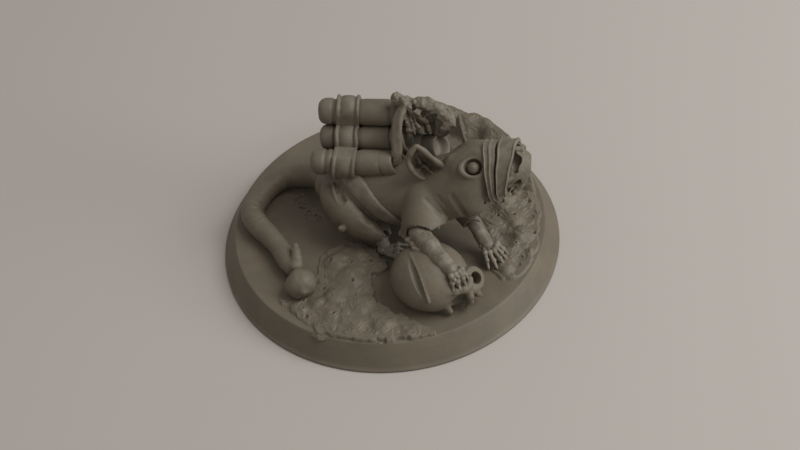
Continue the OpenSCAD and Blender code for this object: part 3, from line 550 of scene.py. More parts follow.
# ---- Body -------------------------------------------------------------------------------------
# The rat's trunk, its two haunches and the loose hide over its upper forelegs: one skin in one
# print. The hide ends in thin torn cuffs at the elbows and knees, and has a tear on the haunch.

# the girth strap lies in planes square to this
GIRTH_NORMAL = np.array([0.643, 0.0, 0.766])
# the hind legs are mirrored in this plane
HIND_Y = 0.3
# x, y, z, half width, half height
TRUNK = np.array([(-8.6, 1.4, 6.9, 0.3, 0.3), (-8.4, 1.4, 6.9, 0.95, 0.95), (-7.7, 1.3, 7.2, 1.57, 1.77),
                  (-6.3, 1.0, 7.6, 2.45, 2.72), (-4.2, 0.6, 8.0, 3.2, 3.3), (-1.8, 0.2, 8.2, 3.69, 3.34),
                  (0.8, -0.5, 8.5, 3.8, 3.34), (3.4, -1.2, 9.1, 3.8, 3.53), (5.8, -1.8, 9.9, 3.8, 3.8),
                  (7.6, -2.0, 10.8, 3.8, 3.8), (8.6, -2.0, 11.3, 3.8, 3.8)])


def carve(a, b, k):
    """Form a with form b cut away, and the cut's edge rounded by k."""
    return -melt(-a, b, k)


def rod(p, a, b, ra, rb):
    """Distance to a rod whose radius runs from ra at a to rb at b:
    |p - a - h(b - a)| - (ra + h(rb - ra))."""
    a, b = np.asarray(a, float), np.asarray(b, float)
    h = np.clip((p - a) @ (b - a) / ((b - a) @ (b - a)), 0, 1)
    return np.linalg.norm(p - a - h[:, None] * (b - a), axis=1) - (ra + (rb - ra) * h)


def chain(p, beads, k):
    """Rods from bead to bead of a list (x, y, z, radius), melted together."""
    rods = [rod(p, a[:3], b[:3], a[3], b[3]) for a, b in zip(beads[:-1], beads[1:])]
    d = rods[0]
    for e in rods[1:]:
        d = melt(d, e, k)
    return d


def strung(points, radii):
    """Beads (x, y, z, radius) from points and their radii, or from points and one radius for all."""
    points = np.asarray(points, float)
    return np.column_stack([points, np.broadcast_to(radii, len(points))])


def curve(p, steps):
    """Open smooth curve through points, with a point added past each end in line with the last two."""
    p = np.asarray(p, float)
    q = np.concatenate([2 * p[:1] - p[1:2], p, 2 * p[-1:] - p[-2:-1]])
    return np.concatenate([between(q[:-3], q[1:-2], q[2:-1], q[3:], steps), p[-1:]])


def tunnel(p, table, start, stop):
    """Form with elliptical sections along x: distance (k - 1) 2wh/(w + h), k = |(dy/w, dz/h)|; ends cut."""
    fine = curve(table, 12)
    fine = fine[np.argsort(fine[:, 0])]
    y, z, w, h = (np.interp(p[:, 0], fine[:, 0], fine[:, c]) for c in (1, 2, 3, 4))
    w, h = np.maximum(w, 0.2), np.maximum(h, 0.2)
    k = np.sqrt(((p[:, 1] - y) / w) ** 2 + ((p[:, 2] - z) / h) ** 2)
    return np.maximum(np.maximum((k - 1) * 2 * w * h / (w + h), start - p[:, 0]), p[:, 0] - stop)


def haunch(p, side, sink):
    """Haunch on one side (-1 right, 1 left): beads that swell and taper from the hip to the knee."""
    beads = [(-6.4, 1.3, 8.2 - sink, 1.1), (-5.5, 1.8, 7.7 - sink, 1.85), (-4.2, 2.5, 7.1 - sink, 2.3),
             (-2.6, 3.4, 6.3 - sink / 2, 2.25), (-0.9, 4.3, 5.75, 1.7), (0.0, 4.9, 5.4, 1.0)]
    return chain(p, [(x, HIND_Y + side * y, z, r) for x, y, z, r in beads], 0.5)


def ridge(p, line, radius):
    """Thin soft rod along a smooth line of points."""
    return chain(p, strung(curve(line, 3), radius), 0.15)


def body_field(p):
    """Trunk, haunches and sleeves melted together; hems, folds and the tear carved out; lumps on top."""
    x, y, z = p.T
    d = tunnel(p, TRUNK, -8.6, 8.2)
    d = melt(d, haunch(p, 1, 0.6), 0.5)
    # the near haunch stops behind the strap; its knee hem is torn
    near = haunch(p, -1, 0.0)
    near = melt(near, rod(p, (-4.5, -5.1, 6.5), (-4.6, -5.35, 6.9), 0.42, 0.3), 0.4)
    near = carve(near, 4.75 - p @ GIRTH_NORMAL + 0.2 * lumps(p, 0.8, 50), 0.3)
    near = carve(near, rod(p, (0.1, -4.9, 5.3), (1.8, -6.0, 3.6), 0.75, 0.9) + 0.15 * lumps(p, 0.5, 51),
                 0.08)
    d = melt(d, near, 0.35)
    # loose hide over the near upper foreleg, open at its hem close round the forearm
    near_sleeve = chain(p, [(5.2, -2.4, 10.5, 2.3), (5.2, -3.7, 10.0, 2.5), (5.1, -4.8, 9.4, 2.42),
                            (5.05, -5.8, 8.8, 2.35), (5.1, -6.4, 8.4, 2.3)], 0.5)
    ragged = 0.16 * lumps(p, 1.1, 52) + 0.08 * lumps(p, 0.35, 53)
    near_sleeve = melt(near_sleeve, rod(p, (3.7, -5.9, 8.5), (2.6, -6.6, 7.8), 0.9, 0.4), 0.5)
    near_sleeve = np.maximum(near_sleeve, (p - (4.3, -7.7, 9.1)) @ (0.295, -0.563, -0.771) + ragged)
    near_sleeve = carve(near_sleeve, rod(p, (4.4, -6.2, 9.0), (5.1, -8.4, 8.75), 1.4, 1.5), 0.08)
    near_sleeve = melt(near_sleeve, rod(p, (5.7, -6.6, 9.4), (6.7, -6.7, 9.1), 0.5, 0.22), 0.3)
    d = melt(d, near_sleeve, 0.35)
    # the far one, whose hem runs out to a point
    far_sleeve = chain(p, [(8.0, -0.6, 8.6, 1.6), (8.6, -1.4, 8.0, 1.7), (9.5, -2.3, 7.3, 1.5),
                           (10.3, -3.0, 6.7, 1.42), (10.6, -3.3, 6.45, 1.45)], 0.4)
    far_sleeve = np.maximum(far_sleeve, (p - (10.3, -3.0, 6.75)) @ (0.63, -0.57, -0.52)
                            + 0.2 * lumps(p, 0.5, 55))
    far_sleeve = melt(far_sleeve, rod(p, (9.4, -3.6, 8.0), (11.1, -4.1, 7.5), 0.4, 0.1), 0.3)
    far_sleeve = carve(far_sleeve, rod(p, (10.2, -3.05, 6.7), (12.0, -4.6, 5.3), 0.95, 1.3), 0.08)
    d = melt(d, far_sleeve, 0.4)
    # fine folds of the neck
    for line in ([(5.3, -5.4, 12.0), (6.1, -5.95, 11.5), (6.9, -6.1, 10.4)],
                 [(6.6, -5.2, 12.3), (7.5, -5.85, 11.5), (8.2, -5.85, 10.1)],
                 [(5.9, -5.3, 12.3), (6.8, -5.9, 11.5), (7.5, -6.0, 10.2)]):
        d = carve(d, ridge(p, np.array(line) + (0.1, 0.02, 0.08), 0.07), 0.4)
    # tear on the haunch, with the bone inside it and its edge rolled
    tear = chain(p, [(-5.2, -1.6, 10.1, 0.42), (-4.9, -2.3, 9.9, 0.55), (-4.6, -2.9, 9.5, 0.5),
                     (-4.3, -3.4, 9.0, 0.3)], 0.2)
    d = carve(d, tear + 0.12 * lumps(p, 0.35, 56), 0.1)
    rolled = [(-5.7, -1.3, 9.9), (-5.6, -2.0, 9.7), (-5.4, -2.6, 9.3), (-4.9, -3.4, 8.8)]
    d = melt(d, ridge(p, rolled, 0.16), 0.15)
    hide = 0.018 * noise(x * 0.5, y, z, 0.45, 57) + 0.035 * noise(x * 0.6, y, z, 1.3, 58)
    return d + hide


HIDE = resin("hide_resin", mottle=420, dust=0.2, layers=0.5, grain=0.5)
cast("body", body_field, (-9.4, -10.2, 3.2), (12.6, 9.4, 15.2), 0.13, HIDE, "hide",
     "torso", "thigh_right", "thigh_left", "sleeve_right", "sleeve_left")

# ---- Head -------------------------------------------------------------------------------------
# Long heavy head, leaning a little to its left, in one print with the neck. Each eye sits in a deep
# groove between thick lids, with one soft fold of the brow above it.

# x, y, z, half width, half height
HEAD = np.array([(6.4, -1.9, 10.4, 3.55, 3.6), (7.6, -2.0, 10.8, 3.8, 3.8), (9.2, -2.0, 11.7, 3.91, 3.88),
                 (10.4, -2.0, 12.3, 3.76, 3.8), (11.2, -2.0, 12.8, 3.42, 3.5),
                 (11.9, -2.0, 13.3, 2.85, 2.95), (12.6, -2.0, 13.5, 2.5, 2.6),
                 (13.6, -2.0, 13.8, 2.5, 2.6)])
# name, middle, radius
EYES = [("eye_right", np.array([10.50, -3.66, 15.36]), 0.66),
        ("eye_left", np.array([10.52, 1.40, 13.20]), 0.66)]
FRONT_WAY = np.array([1.0, 0.0, 0.35])


def unit(v):
    """Vector of length 1 along v."""
    return np.asarray(v, float) / np.linalg.norm(v)


def eye_out(middle):
    """Direction in which an eye looks, from the middle of the head."""
    return unit(middle - (10.1, -2.0, 12.2))


def hoop(p, middle, axis, level, wide, tall, tube):
    """Distance to an oval ring: |((k - 1) s, h)| less the tube radius, with h the height over its plane,
    k = |(a/wide, b/tall)| in the plane, and s the mean of wide and tall."""
    axis = unit(axis)
    level = unit(level - axis * (level @ axis))
    q = p - middle
    h, a, b = q @ axis, q @ level, q @ np.cross(axis, level)
    k = np.hypot(a / wide, b / tall)
    return np.hypot((k - 1) * 0.5 * (wide + tall), h) - tube


def head_field(p):
    """Head with cheeks and brow melted on, a hooped lid round each carved eye socket, and carved folds."""
    d = tunnel(p, HEAD, 6.6, 13.4)
    # cheek and jaw on both sides, and the brow between the eyes
    for s in (-1, 1):
        d = melt(d, egg(p, (9.9, -2 + 1.9 * s, 11.0), (2.4, 1.9, 2.1)), 0.8)
    d = melt(d, rod(p, (8.2, -2.0, 14.5), (11.2, -1.3, 15.1), 0.9, 0.75), 0.8)
    for _, middle, _ in EYES:
        out = eye_out(middle)
        side = np.cross(out, unit(FRONT_WAY))
        side = side if side[2] > 0 else -side
        # soft brow over the eye, then the lids, the groove and the socket
        brow = [middle + 1.75 * side * math.cos(t) + 1.9 * unit(FRONT_WAY) * math.sin(t) - 0.35 * out
                for t in (-1.5, -0.9, -0.3, 0.3, 0.8)]
        d = melt(d, ridge(p, brow, 0.42), 0.7)
        d = melt(d, hoop(p, middle, out, FRONT_WAY, 1.34, 1.02, 0.31), 0.25)
        d = carve(d, egg(p, middle + 0.25 * out, (1.0, 0.9, 0.86)), 0.08)
    # fold of the neck that runs up behind the cheek
    fold = np.array([(8.3, -5.4, 12.8), (8.8, -5.85, 12.1), (9.3, -5.9, 11.2), (9.6, -5.4, 10.1)])
    d = carve(d, ridge(p, fold + (0, -0.1, 0), 0.12), 0.5)
    # corner of the mouth under the muzzle
    d = carve(d, ridge(p, [(10.6, -5.0, 10.3), (11.4, -4.9, 11.1), (12.0, -4.7, 11.9)], 0.1), 0.3)
    return d + 0.012 * lumps(p, 0.4, 61) + 0.035 * lumps(p, 1.3, 62)


cast("head", head_field, (6.3, -6.9, 6.2), (14.0, 2.9, 17.4), 0.1, HIDE, "hide")

# ---- Eyes -------------------------------------------------------------------------------------
# Plain round eyeballs in the same resin as the head, cast with it. Each is set deep in the groove
# between its lids and bulges a little in front.

for eye_name, middle, r in EYES:
    polar = np.linspace(0.02, np.pi - 0.02, 40)
    out = eye_out(middle)
    side = unit(np.cross(out, [1.0, 0, 0]))
    level = np.cross(side, out)
    around = circle(64)
    bulge = r * (1 + 0.03 * np.exp(-((polar - 0.15) / 0.35) ** 2)
                 - 0.02 * np.exp(-((polar - 0.62) / 0.08) ** 2))
    ring = np.cos(around)[:, None] * side + np.sin(around)[:, None] * level
    rings = (middle + (bulge * np.cos(polar))[:, None, None] * out
             + (bulge * np.sin(polar))[:, None, None] * ring)
    eyeball = piece(eye_name, *tube_mesh(rings))
    printed(eyeball, resin(eye_name + "_resin", dust=0.05, layers=0.2, grain=0.2), "hide", eye_name)

# ---- Ears -------------------------------------------------------------------------------------
# Thin torn ears, each an open cup of hide with a rolled rim, cast with the head at the root. The
# near one faces out to the side.


def tube_rings(line, radius, sides):
    """Rings of a round tube: at each point of the line, the point plus r(cos a n + sin a b), where n is
    square to the line's direction and b = t x n."""
    line = np.asarray(line, float)
    t = np.gradient(line, axis=0)
    t /= np.linalg.norm(t, axis=1, keepdims=True)
    ref = np.where(np.abs(t[:, 2:3]) < 0.85, np.array([[0, 0, 1.0]]), np.array([[0, 1.0, 0]]))
    if np.abs(t[:, 2]).max() < 0.97:
        ref = np.broadcast_to(np.array([[0, 0, 1.0]]), t.shape)
    n = np.cross(t, ref)
    n /= np.linalg.norm(n, axis=1, keepdims=True)
    b = np.cross(t, n)
    a = circle(sides)
    r = np.broadcast_to(np.asarray(radius, float), (len(line),))[:, None, None]
    return line[:, None] + r * (np.cos(a)[:, None] * n[:, None] + np.sin(a)[:, None] * b[:, None])


def joined(meshes):
    """Several meshes as one list of points and faces."""
    first, points, faces = 0, [], []
    for p, fs in meshes:
        points.append(p)
        faces += [f + first for f in fs]
        first += len(p)
    return np.concatenate(points), faces


def ear(name, left, right, away, cup, rim, seed):
    """Cupped sheet between two rim lines, at share v of the way from left to right: it is set back by 4 cup
    v(1 - v) and is 0.12 thick to each side; its inside is lumpy with a fold down its middle, and one round
    rim runs up its left edge and down its right one, thinner towards both ends."""
    left, right = curve(left, 14), curve(right, 14)
    turn = circle(120)[None, :]
    v = 0.5 - 0.5 * np.cos(turn)
    u = np.linspace(0, 1, len(left))[:, None]
    depth = 4 * cup * v * (1 - v) * np.sin(np.pi * np.clip(0.12 + 0.8 * u, 0, 1))
    thick = 0.12 * np.sign(np.sin(turn)) * np.abs(np.sin(turn)) ** 0.6
    spot = left[:, None] + v[..., None] * (right - left)[:, None]
    within = np.sin(turn) < 0
    bumps = 0.5 * noise(*np.moveaxis(spot, -1, 0), 0.42, seed) * (4 * v * (1 - v)) * within
    fold = cup * 0.5 * np.exp(-((v - 0.45 - 0.25 * (u - 0.5)) / 0.13) ** 2) * ramp(u, 0.1, 0.35) * within
    sheet = spot + (depth + thick + bumps - fold)[..., None] * unit(away)
    edge = np.concatenate([left[::-1], right[1:]])
    run = np.linspace(0, 1, len(edge))
    from_end = np.clip(np.minimum(run, 1 - run) / 0.16, 0, 1)
    girth = rim * (1 + 0.13 * np.sin(34 * run)) * (0.3 + 0.7 * np.sqrt(from_end))
    return piece(name, *joined([tube_mesh(sheet), tube_mesh(tube_rings(edge, girth, 20))]))


near_ear = ear(
    "ear_right",
    [(4.3, -2.5, 17.2), (3.75, -2.75, 16.5), (3.4, -2.95, 15.7), (3.55, -3.1, 14.8), (4.05, -3.2, 13.9),
     (4.75, -3.15, 13.1), (5.3, -3.0, 12.8)],
    [(4.45, -2.45, 17.2), (5.05, -2.45, 16.6), (5.7, -2.5, 15.9), (6.35, -2.55, 15.2), (6.95, -2.6, 14.6),
     (7.2, -2.7, 13.9), (7.0, -2.8, 13.2)],
    (-0.1, 0.75, -0.65), 1.6, 0.31, 171)
printed(near_ear, resin("near_ear_resin", dust=0.3, layers=0.3), "hide", "ear_right")
far_ear = ear(
    "ear_left",
    [(8.62, 1.5, 17.75), (8.75, 1.35, 17.0), (9.0, 1.1, 15.9), (9.2, 0.9, 15.0), (9.35, 0.6, 14.2),
     (9.4, 0.5, 13.6)],
    [(8.66, 1.7, 17.75), (8.6, 2.6, 17.0), (8.75, 2.9, 15.9), (8.9, 2.9, 15.0), (9.0, 2.6, 14.0),
     (9.1, 2.2, 13.2)],
    (-1.0, 0.1, 0.0), 0.2, 0.16, 172)
printed(far_ear, resin("far_ear_resin", dust=0.3, layers=0.3), "hide", "ear_left")

# ---- Muzzle bands -----------------------------------------------------------------------------
# Two flat bands strapped round the muzzle, square to it and moulded as one with it. A thin welt runs
# along each edge, and the front one is the wider.


def hoop_mesh(rings):
    """Closed tube whose ends meet: the points rings[i, j], with quads joined round both ways."""
    n, m = rings.shape[:2]
    i, j = np.meshgrid(np.arange(n), np.arange(m), indexing="ij")
    k, l = (i + 1) % n, (j + 1) % m
    return rings.reshape(-1, 3), [np.stack([i * m + j, k * m + j, k * m + l, i * m + l], -1).reshape(-1, 4)]


def banded(x, y, z):
    """Shift along x that leans a hoop of the muzzle: square to the snout at its rear edge, and turned out
    to the near side at its front edge."""
    w = np.clip((x - 12.1) / 2.55, 0, 1)
    return w * (0.19 * (y + 2.0) + 0.07 * (z - 13.9)) - (1 - w) * 0.2 * (z - 13.9)


def muzzle_band(name, x0, x1, cords, high):
    """Band round the muzzle: at angle a and place x it stands a band's thickness off the snout, whose half
    sizes are 2.6 times 1.13 - 0.13t and 1.16 - 0.12t; each cord adds a half circle, its edges are rounded,
    and its front is hollow."""
    a = circle(200)[:, None]
    s = np.linspace(0, 1, 60)
    edge = np.clip(np.minimum(s, 1 - s) * (x1 - x0) / 0.14, 0, 1)
    lift = high * np.sqrt(1 - (1 - edge) ** 2)
    for c in cords:
        u = (s - c) * (x1 - x0) / 0.13
        lift = lift + 0.13 * np.sqrt(np.clip(1 - u ** 2, 0, 1))
    x = np.concatenate([x0 + s * (x1 - x0), [x1 - 0.03, x1 - 0.3, x1 - 0.6, x0 + 0.2, x0 + 0.05]])
    lift = np.concatenate([lift, [high - 0.22, high - 0.26, -0.1, -0.35, -0.3]])
    wave = 0.04 * np.sin(3 * a + 1.0) + 0.03 * np.sin(7 * a)
    x, lift = x[None, :] + wave, lift[None, :] + 0 * a
    t = (x - 11.8) / 2.9
    side, up = 2.6 * (1.13 - 0.13 * t), 2.6 * (1.16 - 0.12 * t)
    worn = 0.025 * noise(x, 4 * np.cos(a) + 0 * x, 4 * np.sin(a) + 0 * x, 0.5, 71)
    y = -2.0 + (side + lift + worn) * np.cos(a)
    z = 13.3 + 0.8 * t + (up + lift + worn) * np.sin(a)
    return piece(name, *hoop_mesh(np.stack([x + banded(x, y, z), y, z], -1)), sharp=50)


BAND = resin("band_resin", light=(0.162, 0.137, 0.102), mottle=900, dust=0.35, layers=0.2, grain=0.5)
printed(muzzle_band("muzzle_band_rear", 11.95, 13.1, (0.1, 0.55), 0.40), BAND, "bands", "muzzle_band_rear")
printed(muzzle_band("muzzle_band_front", 13.2, 14.7, (0.07, 0.94), 0.46), BAND, "bands",
        "muzzle_band_front")

# ---- Snout end --------------------------------------------------------------------------------
# The blunt end of the snout inside the front band, torn open in two deep holes on each side, with thin
# ribs of bone left between them.


def snout_field(p):
    """Three beads, arches of thin bone melted on, four holes carved out, all cut off behind."""
    x = p[:, 0]
    d = chain(p, [(13.3, -2.0, 13.8, 2.35), (14.4, -1.9, 14.05, 2.15), (15.2, -1.75, 14.3, 1.7)], 0.2)
    # thin arch of bone round the front, and a bridge to it from the near side
    for bones in ([(14.6, -1.6, 16.35, 0.34), (15.5, -1.3, 15.95, 0.36), (15.8, -2.1, 15.0, 0.3),
                   (16.0, -2.8, 13.7, 0.3), (15.6, -3.4, 12.7, 0.3), (14.8, -3.8, 12.1, 0.3)],
                  [(14.0, -4.35, 14.3, 0.28), (14.9, -3.6, 14.5, 0.3), (15.7, -2.7, 14.6, 0.32)],
                  [(14.6, 0.4, 15.6, 0.34), (15.5, 0.3, 14.9, 0.34), (15.6, 0.4, 13.4, 0.32),
                   (14.8, 0.2, 12.4, 0.3)]):
        d = melt(d, chain(p, bones, 0.15) + 0.08 * lumps(p, 0.4, 83), 0.2)
    for hole in ([(14.35, -2.2, 16.3, 0.55), (14.9, -2.6, 15.6, 0.66), (14.9, -3.4, 15.0, 0.42)],
                 [(14.6, -4.1, 13.0, 0.4), (15.1, -3.5, 13.5, 0.52), (15.3, -3.3, 13.9, 0.4)],
                 [(14.8, -0.3, 15.4, 0.5), (15.6, -0.5, 14.6, 0.6)],
                 [(14.9, -0.2, 12.9, 0.5), (15.7, -0.7, 13.5, 0.55)]):
        d = carve(d, chain(p, hole, 0.1) + 0.08 * lumps(p, 0.45, 82), 0.08)
    return np.maximum(d + 0.03 * lumps(p, 0.35, 84), 13.2 - x)


cast("snout_end", snout_field, (13.0, -4.8, 11.2), (16.5, 1.1, 17.2), 0.06,
     resin("snout_resin", dust=0.35, layers=0.2, grain=0.5), "bone")

# ---- Chin tuft --------------------------------------------------------------------------------
# Stiff tufts of hair under the jaw. Each is printed as tapering strands of resin whose thick ends
# are sunk in the skin.

hair = []
hair_rng = np.random.default_rng(5)
for j in range(4):
    for s in (-1, 1):
        for _ in range(3):
            start = np.array([10 + 0.8 * j, -2.9 + 0.8 * s, 9.9 + 0.45 * j]) + hair_rng.normal(0, 0.18, 3)
            end = np.array([11.2 + 0.95 * j, -3.2 + 1.1 * s, 8.3 + 0.7 * j]) + hair_rng.normal(0, 0.22, 3)
            end = start + 0.6 * (end - start)
            line = curve([start, start * 0.6 + end * 0.4 + (0.1, 0.1 * s, -0.35), end], 7)
            hair.append(tube_mesh(tube_rings(line, np.linspace(0.34, 0.05, len(line)), 10)))
printed(piece("chin_tuft", *joined(hair)), resin("tuft_resin", dust=0.4), "hide", "chin_tuft")

# ---- Skull ------------------------------------------------------------------------------------
# A big old skull under the rat's forepaw, cast with the base. Two sword cuts gape across its dome,
# its sockets and nose are deep, and its cheekbone and jaw end in thin points.

SKULL_AT = np.array([6.1, -10.6, 5.4])
SKULL_TURN = math.radians(-21)


def gash(p, line, wide):
    """Form of a cut along a line: a rod whose radius swells from its ends to its middle."""
    line = curve(line, 3)
    swell = wide * np.sin(np.pi * np.linspace(0.04, 0.96, len(line))) ** 0.8
    return chain(p, strung(line, swell), 0.1)


def skull_field(p):
    """Egg cut flat at the face; brow, bones and an eye rim melted on; sockets and cuts carved out."""
    c, s = math.cos(SKULL_TURN), math.sin(SKULL_TURN)
    d = egg(p, SKULL_AT + (-0.15, 0.05, 0), (4.35, 4.15, 3.4), math.degrees(SKULL_TURN))
    # the face below the brow is narrower than the dome
    d = np.maximum(d, (p - SKULL_AT) @ unit((0.9 * c, 0.9 * s, -0.42)) - 3.8)
    d = melt(d, chain(p, [(9.0, -11.8, 4.9, 1.6), (10.1, -11.5, 4.7, 1.25)], 0.3), 0.4)
    # near socket: a wide dark arch, open below, under a thin brow
    near = np.minimum(chain(p, [(8.85, -13.5, 4.8, 0.72), (9.75, -13.1, 5.1, 0.88)], 0.3),
                      rod(p, (9.2, -13.8, 4.4), (9.6, -15.0, 3.4), 0.95, 1.25))
    d = carve(d, near + 0.05 * lumps(p, 0.5, 91), 0.1)
    brow = [(7.4, -13.2, 6.3, 0.5), (8.2, -13.4, 6.15, 0.46), (9.1, -13.35, 6.35, 0.42),
            (9.95, -13.05, 6.4, 0.42), (10.4, -12.5, 6.4, 0.46), (10.45, -11.8, 6.6, 0.42)]
    d = melt(d, chain(p, brow, 0.2) + 0.06 * lumps(p, 0.5, 94), 0.25)
    # thin cheekbone, and two spikes of the upper jaw
    for bone in ([(7.75, -13.5, 5.6, 0.5), (8.0, -13.8, 4.5, 0.4), (8.45, -13.95, 3.7, 0.3),
                  (8.5, -14.0, 3.35, 0.18)],
                 [(10.35, -12.75, 6.0, 0.4), (10.6, -12.95, 5.2, 0.38), (10.65, -13.0, 4.4, 0.32),
                  (10.15, -13.3, 3.7, 0.18)],
                 [(10.8, -12.1, 5.3, 0.45), (11.3, -11.9, 4.5, 0.36), (11.6, -11.7, 3.95, 0.2)]):
        d = melt(d, chain(p, bone, 0.15), 0.2)
    d = carve(d, rod(p, (10.5, -12.1, 4.9), (11.4, -12.8, 4.5), 0.24, 0.32), 0.06)
    # far socket: a round hollow in a thick rim
    rim_at, rim_way = np.array([10.8, -11.0, 5.85]), unit((0.62, -0.3, 0.72))
    d = melt(d, rod(p, rim_at - 1.1 * rim_way, rim_at - 0.35 * rim_way, 1.0, 1.15), 0.3)
    d = melt(d, hoop(p, rim_at, rim_way, np.array([0.0, 1, 0]), 1.05, 1.02, 0.38), 0.25)
    d = carve(d, rod(p, rim_at - 0.7 * rim_way, rim_at + 1.5 * rim_way, 0.6, 0.78), 0.08)
    # cuts, with lips that stand a little proud
    for line, wide in (([(3.6, -10.0, 8.5), (4.2, -11.7, 8.45), (4.9, -13.2, 7.9), (5.6, -14.4, 6.9),
                         (6.2, -15.0, 5.9)], 0.42),
                       ([(5.9, -8.7, 9.0), (6.5, -9.6, 8.9), (7.05, -10.6, 8.6), (7.5, -11.5, 8.2)], 0.34)):
        line = np.array(line)
        d = melt(d, gash(p, line + (0.3, 0.05, -0.1), wide * 0.7) + 0.05, 0.3)
        d = carve(d, gash(p, line + (0, 0, 0.08), wide), 0.07)
    return d + 0.025 * lumps(p, 1.1, 92) + 0.008 * lumps(p, 0.3, 93)


cast("skull", skull_field, (1.2, -16.0, 2.5), (12.9, -5.6, 9.8), 0.1,
     resin("skull_resin", mottle=380, dust=0.25, layers=0.6, grain=0.3), "skull")

# ---- Forelegs ---------------------------------------------------------------------------------
# Bare bony forearms that come out of the torn hide: the near one, a tapering sheath with a frayed
# left edge, leans on the skull's brow, and the far one is set down on the ground.


def near_forearm_field(p):
    """Tapering chain of beads with a thin ridge along its top and a frayed ridge along its left edge."""
    d = chain(p, [(4.1, -5.6, 9.0, 1.1), (4.7, -7.3, 8.8, 1.1), (6.0, -9.1, 8.8, 1.0),
                  (7.3, -10.7, 8.5, 0.9), (8.4, -11.7, 8.15, 0.85)], 0.4)
    d = melt(d, ridge(p, [(5.5, -7.6, 9.6), (6.9, -9.4, 9.5), (8.3, -11.1, 9.0)], 0.13), 0.3)
    frayed = ridge(p, [(2.75, -6.7, 8.0), (3.6, -8.1, 8.35), (4.9, -9.8, 8.4), (6.3, -11.3, 8.2)], 0.26)
    d = melt(d, frayed + 0.2 * lumps(p, 0.45, 54), 0.15)
    return d + 0.03 * lumps(p, 0.6, 101)


def far_forearm_field(p):
    """Short chain of beads from the sleeve to the wrist."""
    d = chain(p, [(9.6, -2.5, 7.3, 0.8), (10.5, -3.5, 6.3, 0.82), (11.2, -4.2, 5.3, 0.78),
                  (11.8, -4.85, 4.6, 0.8)], 0.25)
    return d + 0.03 * lumps(p, 0.5, 102)


# painted light: the bones' grey is paler than the hide's, to stand in for the light that the thin forearms,
# paws and feet catch
BONE_PAINTED_LIGHT = resin("bone_resin_painted_light", light=(0.2, 0.172, 0.132), mottle=900, dust=0.3, layers=0.3, grain=0.5)
cast("forearm_right", near_forearm_field, (2.0, -13.2, 6.4), (9.6, -3.6, 11.1), 0.085, BONE_PAINTED_LIGHT, "bone")
cast("forearm_left", far_forearm_field, (8.8, -6.2, 3.2), (13.4, -1.5, 8.2), 0.085, BONE_PAINTED_LIGHT, "bone")

# ---- Forepaws ---------------------------------------------------------------------------------
# Skeletal hands: a knot of small wrist bones, then long fingers with a knob at every joint and a
# short claw at the tip.


def ball(p, middle, radius):
    """Distance to a ball: |p - middle| - radius."""
    return np.linalg.norm(p - middle, axis=1) - radius


def hand(p, wrist, heading, drop, many, spread, reach, seed):
    """Wrist knobs plus fingers, each finger a chain of thin bones from knob to knob along its heading."""
    rng = np.random.default_rng(seed)
    mid = math.radians(heading)
    toward = np.array([math.cos(mid), math.sin(mid), 0])
    across = np.array([-math.sin(mid), math.cos(mid), 0])
    d = chain(p, [(*wrist, 0.66), (*(wrist + 0.5 * toward + (0, 0, -0.15 * drop)), 0.56)], 0.2)
    for k in range(many):
        middle = k - (many - 1) / 2
        a = mid + math.radians(middle * spread)
        way = np.array([math.cos(a), math.sin(a), 0])
        side = across * middle * 0.3
        share = 1 - 0.12 * abs(middle) + rng.uniform(-0.06, 0.06)
        joints = [wrist + side * 0.6 + 0.3 * way + (0, 0, 0.05),
                  wrist + side + 0.42 * reach * share * way + (0, 0, 0.25),
                  wrist + side + 0.75 * reach * share * way + (0, 0, -0.4 * drop),
                  wrist + side + reach * share * way + (0, 0, -drop)]
        thin = chain(p, strung(joints, (0.28, 0.24, 0.22, 0.16)), 0.08)
        for q, r in zip(joints[1:3], (0.36, 0.32)):
            thin = melt(thin, ball(p, q, r), 0.1)
        thin = melt(thin, rod(p, joints[3], joints[3] + 0.32 * way + (0, 0, -0.12), 0.18, 0.05), 0.08)
        d = melt(d, thin, 0.08)
    for row in range(4):
        for k in range(4):
            shift = rng.uniform(-0.08, 0.08)
            q = wrist + (0.42 * row - 0.25) * toward + (0.42 * (k - 1.5) + shift) * across
            q = q + np.array([0, 0, 0.5 - 0.12 * row - 0.08 * abs(k - 1.5)])
            d = melt(d, ball(p, q, rng.uniform(0.2, 0.27)), 0.06)
    return d


# name, wrist, heading, drop, fingers, spread, reach, seed, and two corners of the box round it
PAWS = [("paw_right", (8.75, -11.85, 7.9), -45, 1.1, 4, 18, 1.65, 111,
         (7.0, -15.0, 5.6), (11.8, -10.2, 9.3)),
        ("paw_left", (11.8, -4.95, 4.35), -42, 0.85, 5, 13, 2.75, 112,
         (10.2, -8.6, 2.9), (15.6, -3.2, 5.9))]
for paw_name, wrist, *ways, low, high in PAWS:
    cast(paw_name, lambda p: hand(p, np.array(wrist), *ways), low, high, 0.06, BONE_PAINTED_LIGHT, "bone")

# ---- Hind legs --------------------------------------------------------------------------------
# Thin shins and long hind feet that come out below the haunches and rest on the ground. Every small
# bone of the foot shows as a knob.


def shin(p, s):
    """Shin on one side (-1 right, 1 left): beads of bone from inside the haunch down to the ankle."""
    beads = [(-0.9, 4.5, 5.7, 0.8), (-0.6, 4.7, 4.9, 0.78), (-0.2, 5.0, 4.4, 0.68), (0.2, 5.4, 4.1, 0.62)]
    return chain(p, [(x, HIND_Y + s * y, z, r) for x, y, z, r in beads], 0.3) + 0.04 * lumps(p, 0.5, 121)


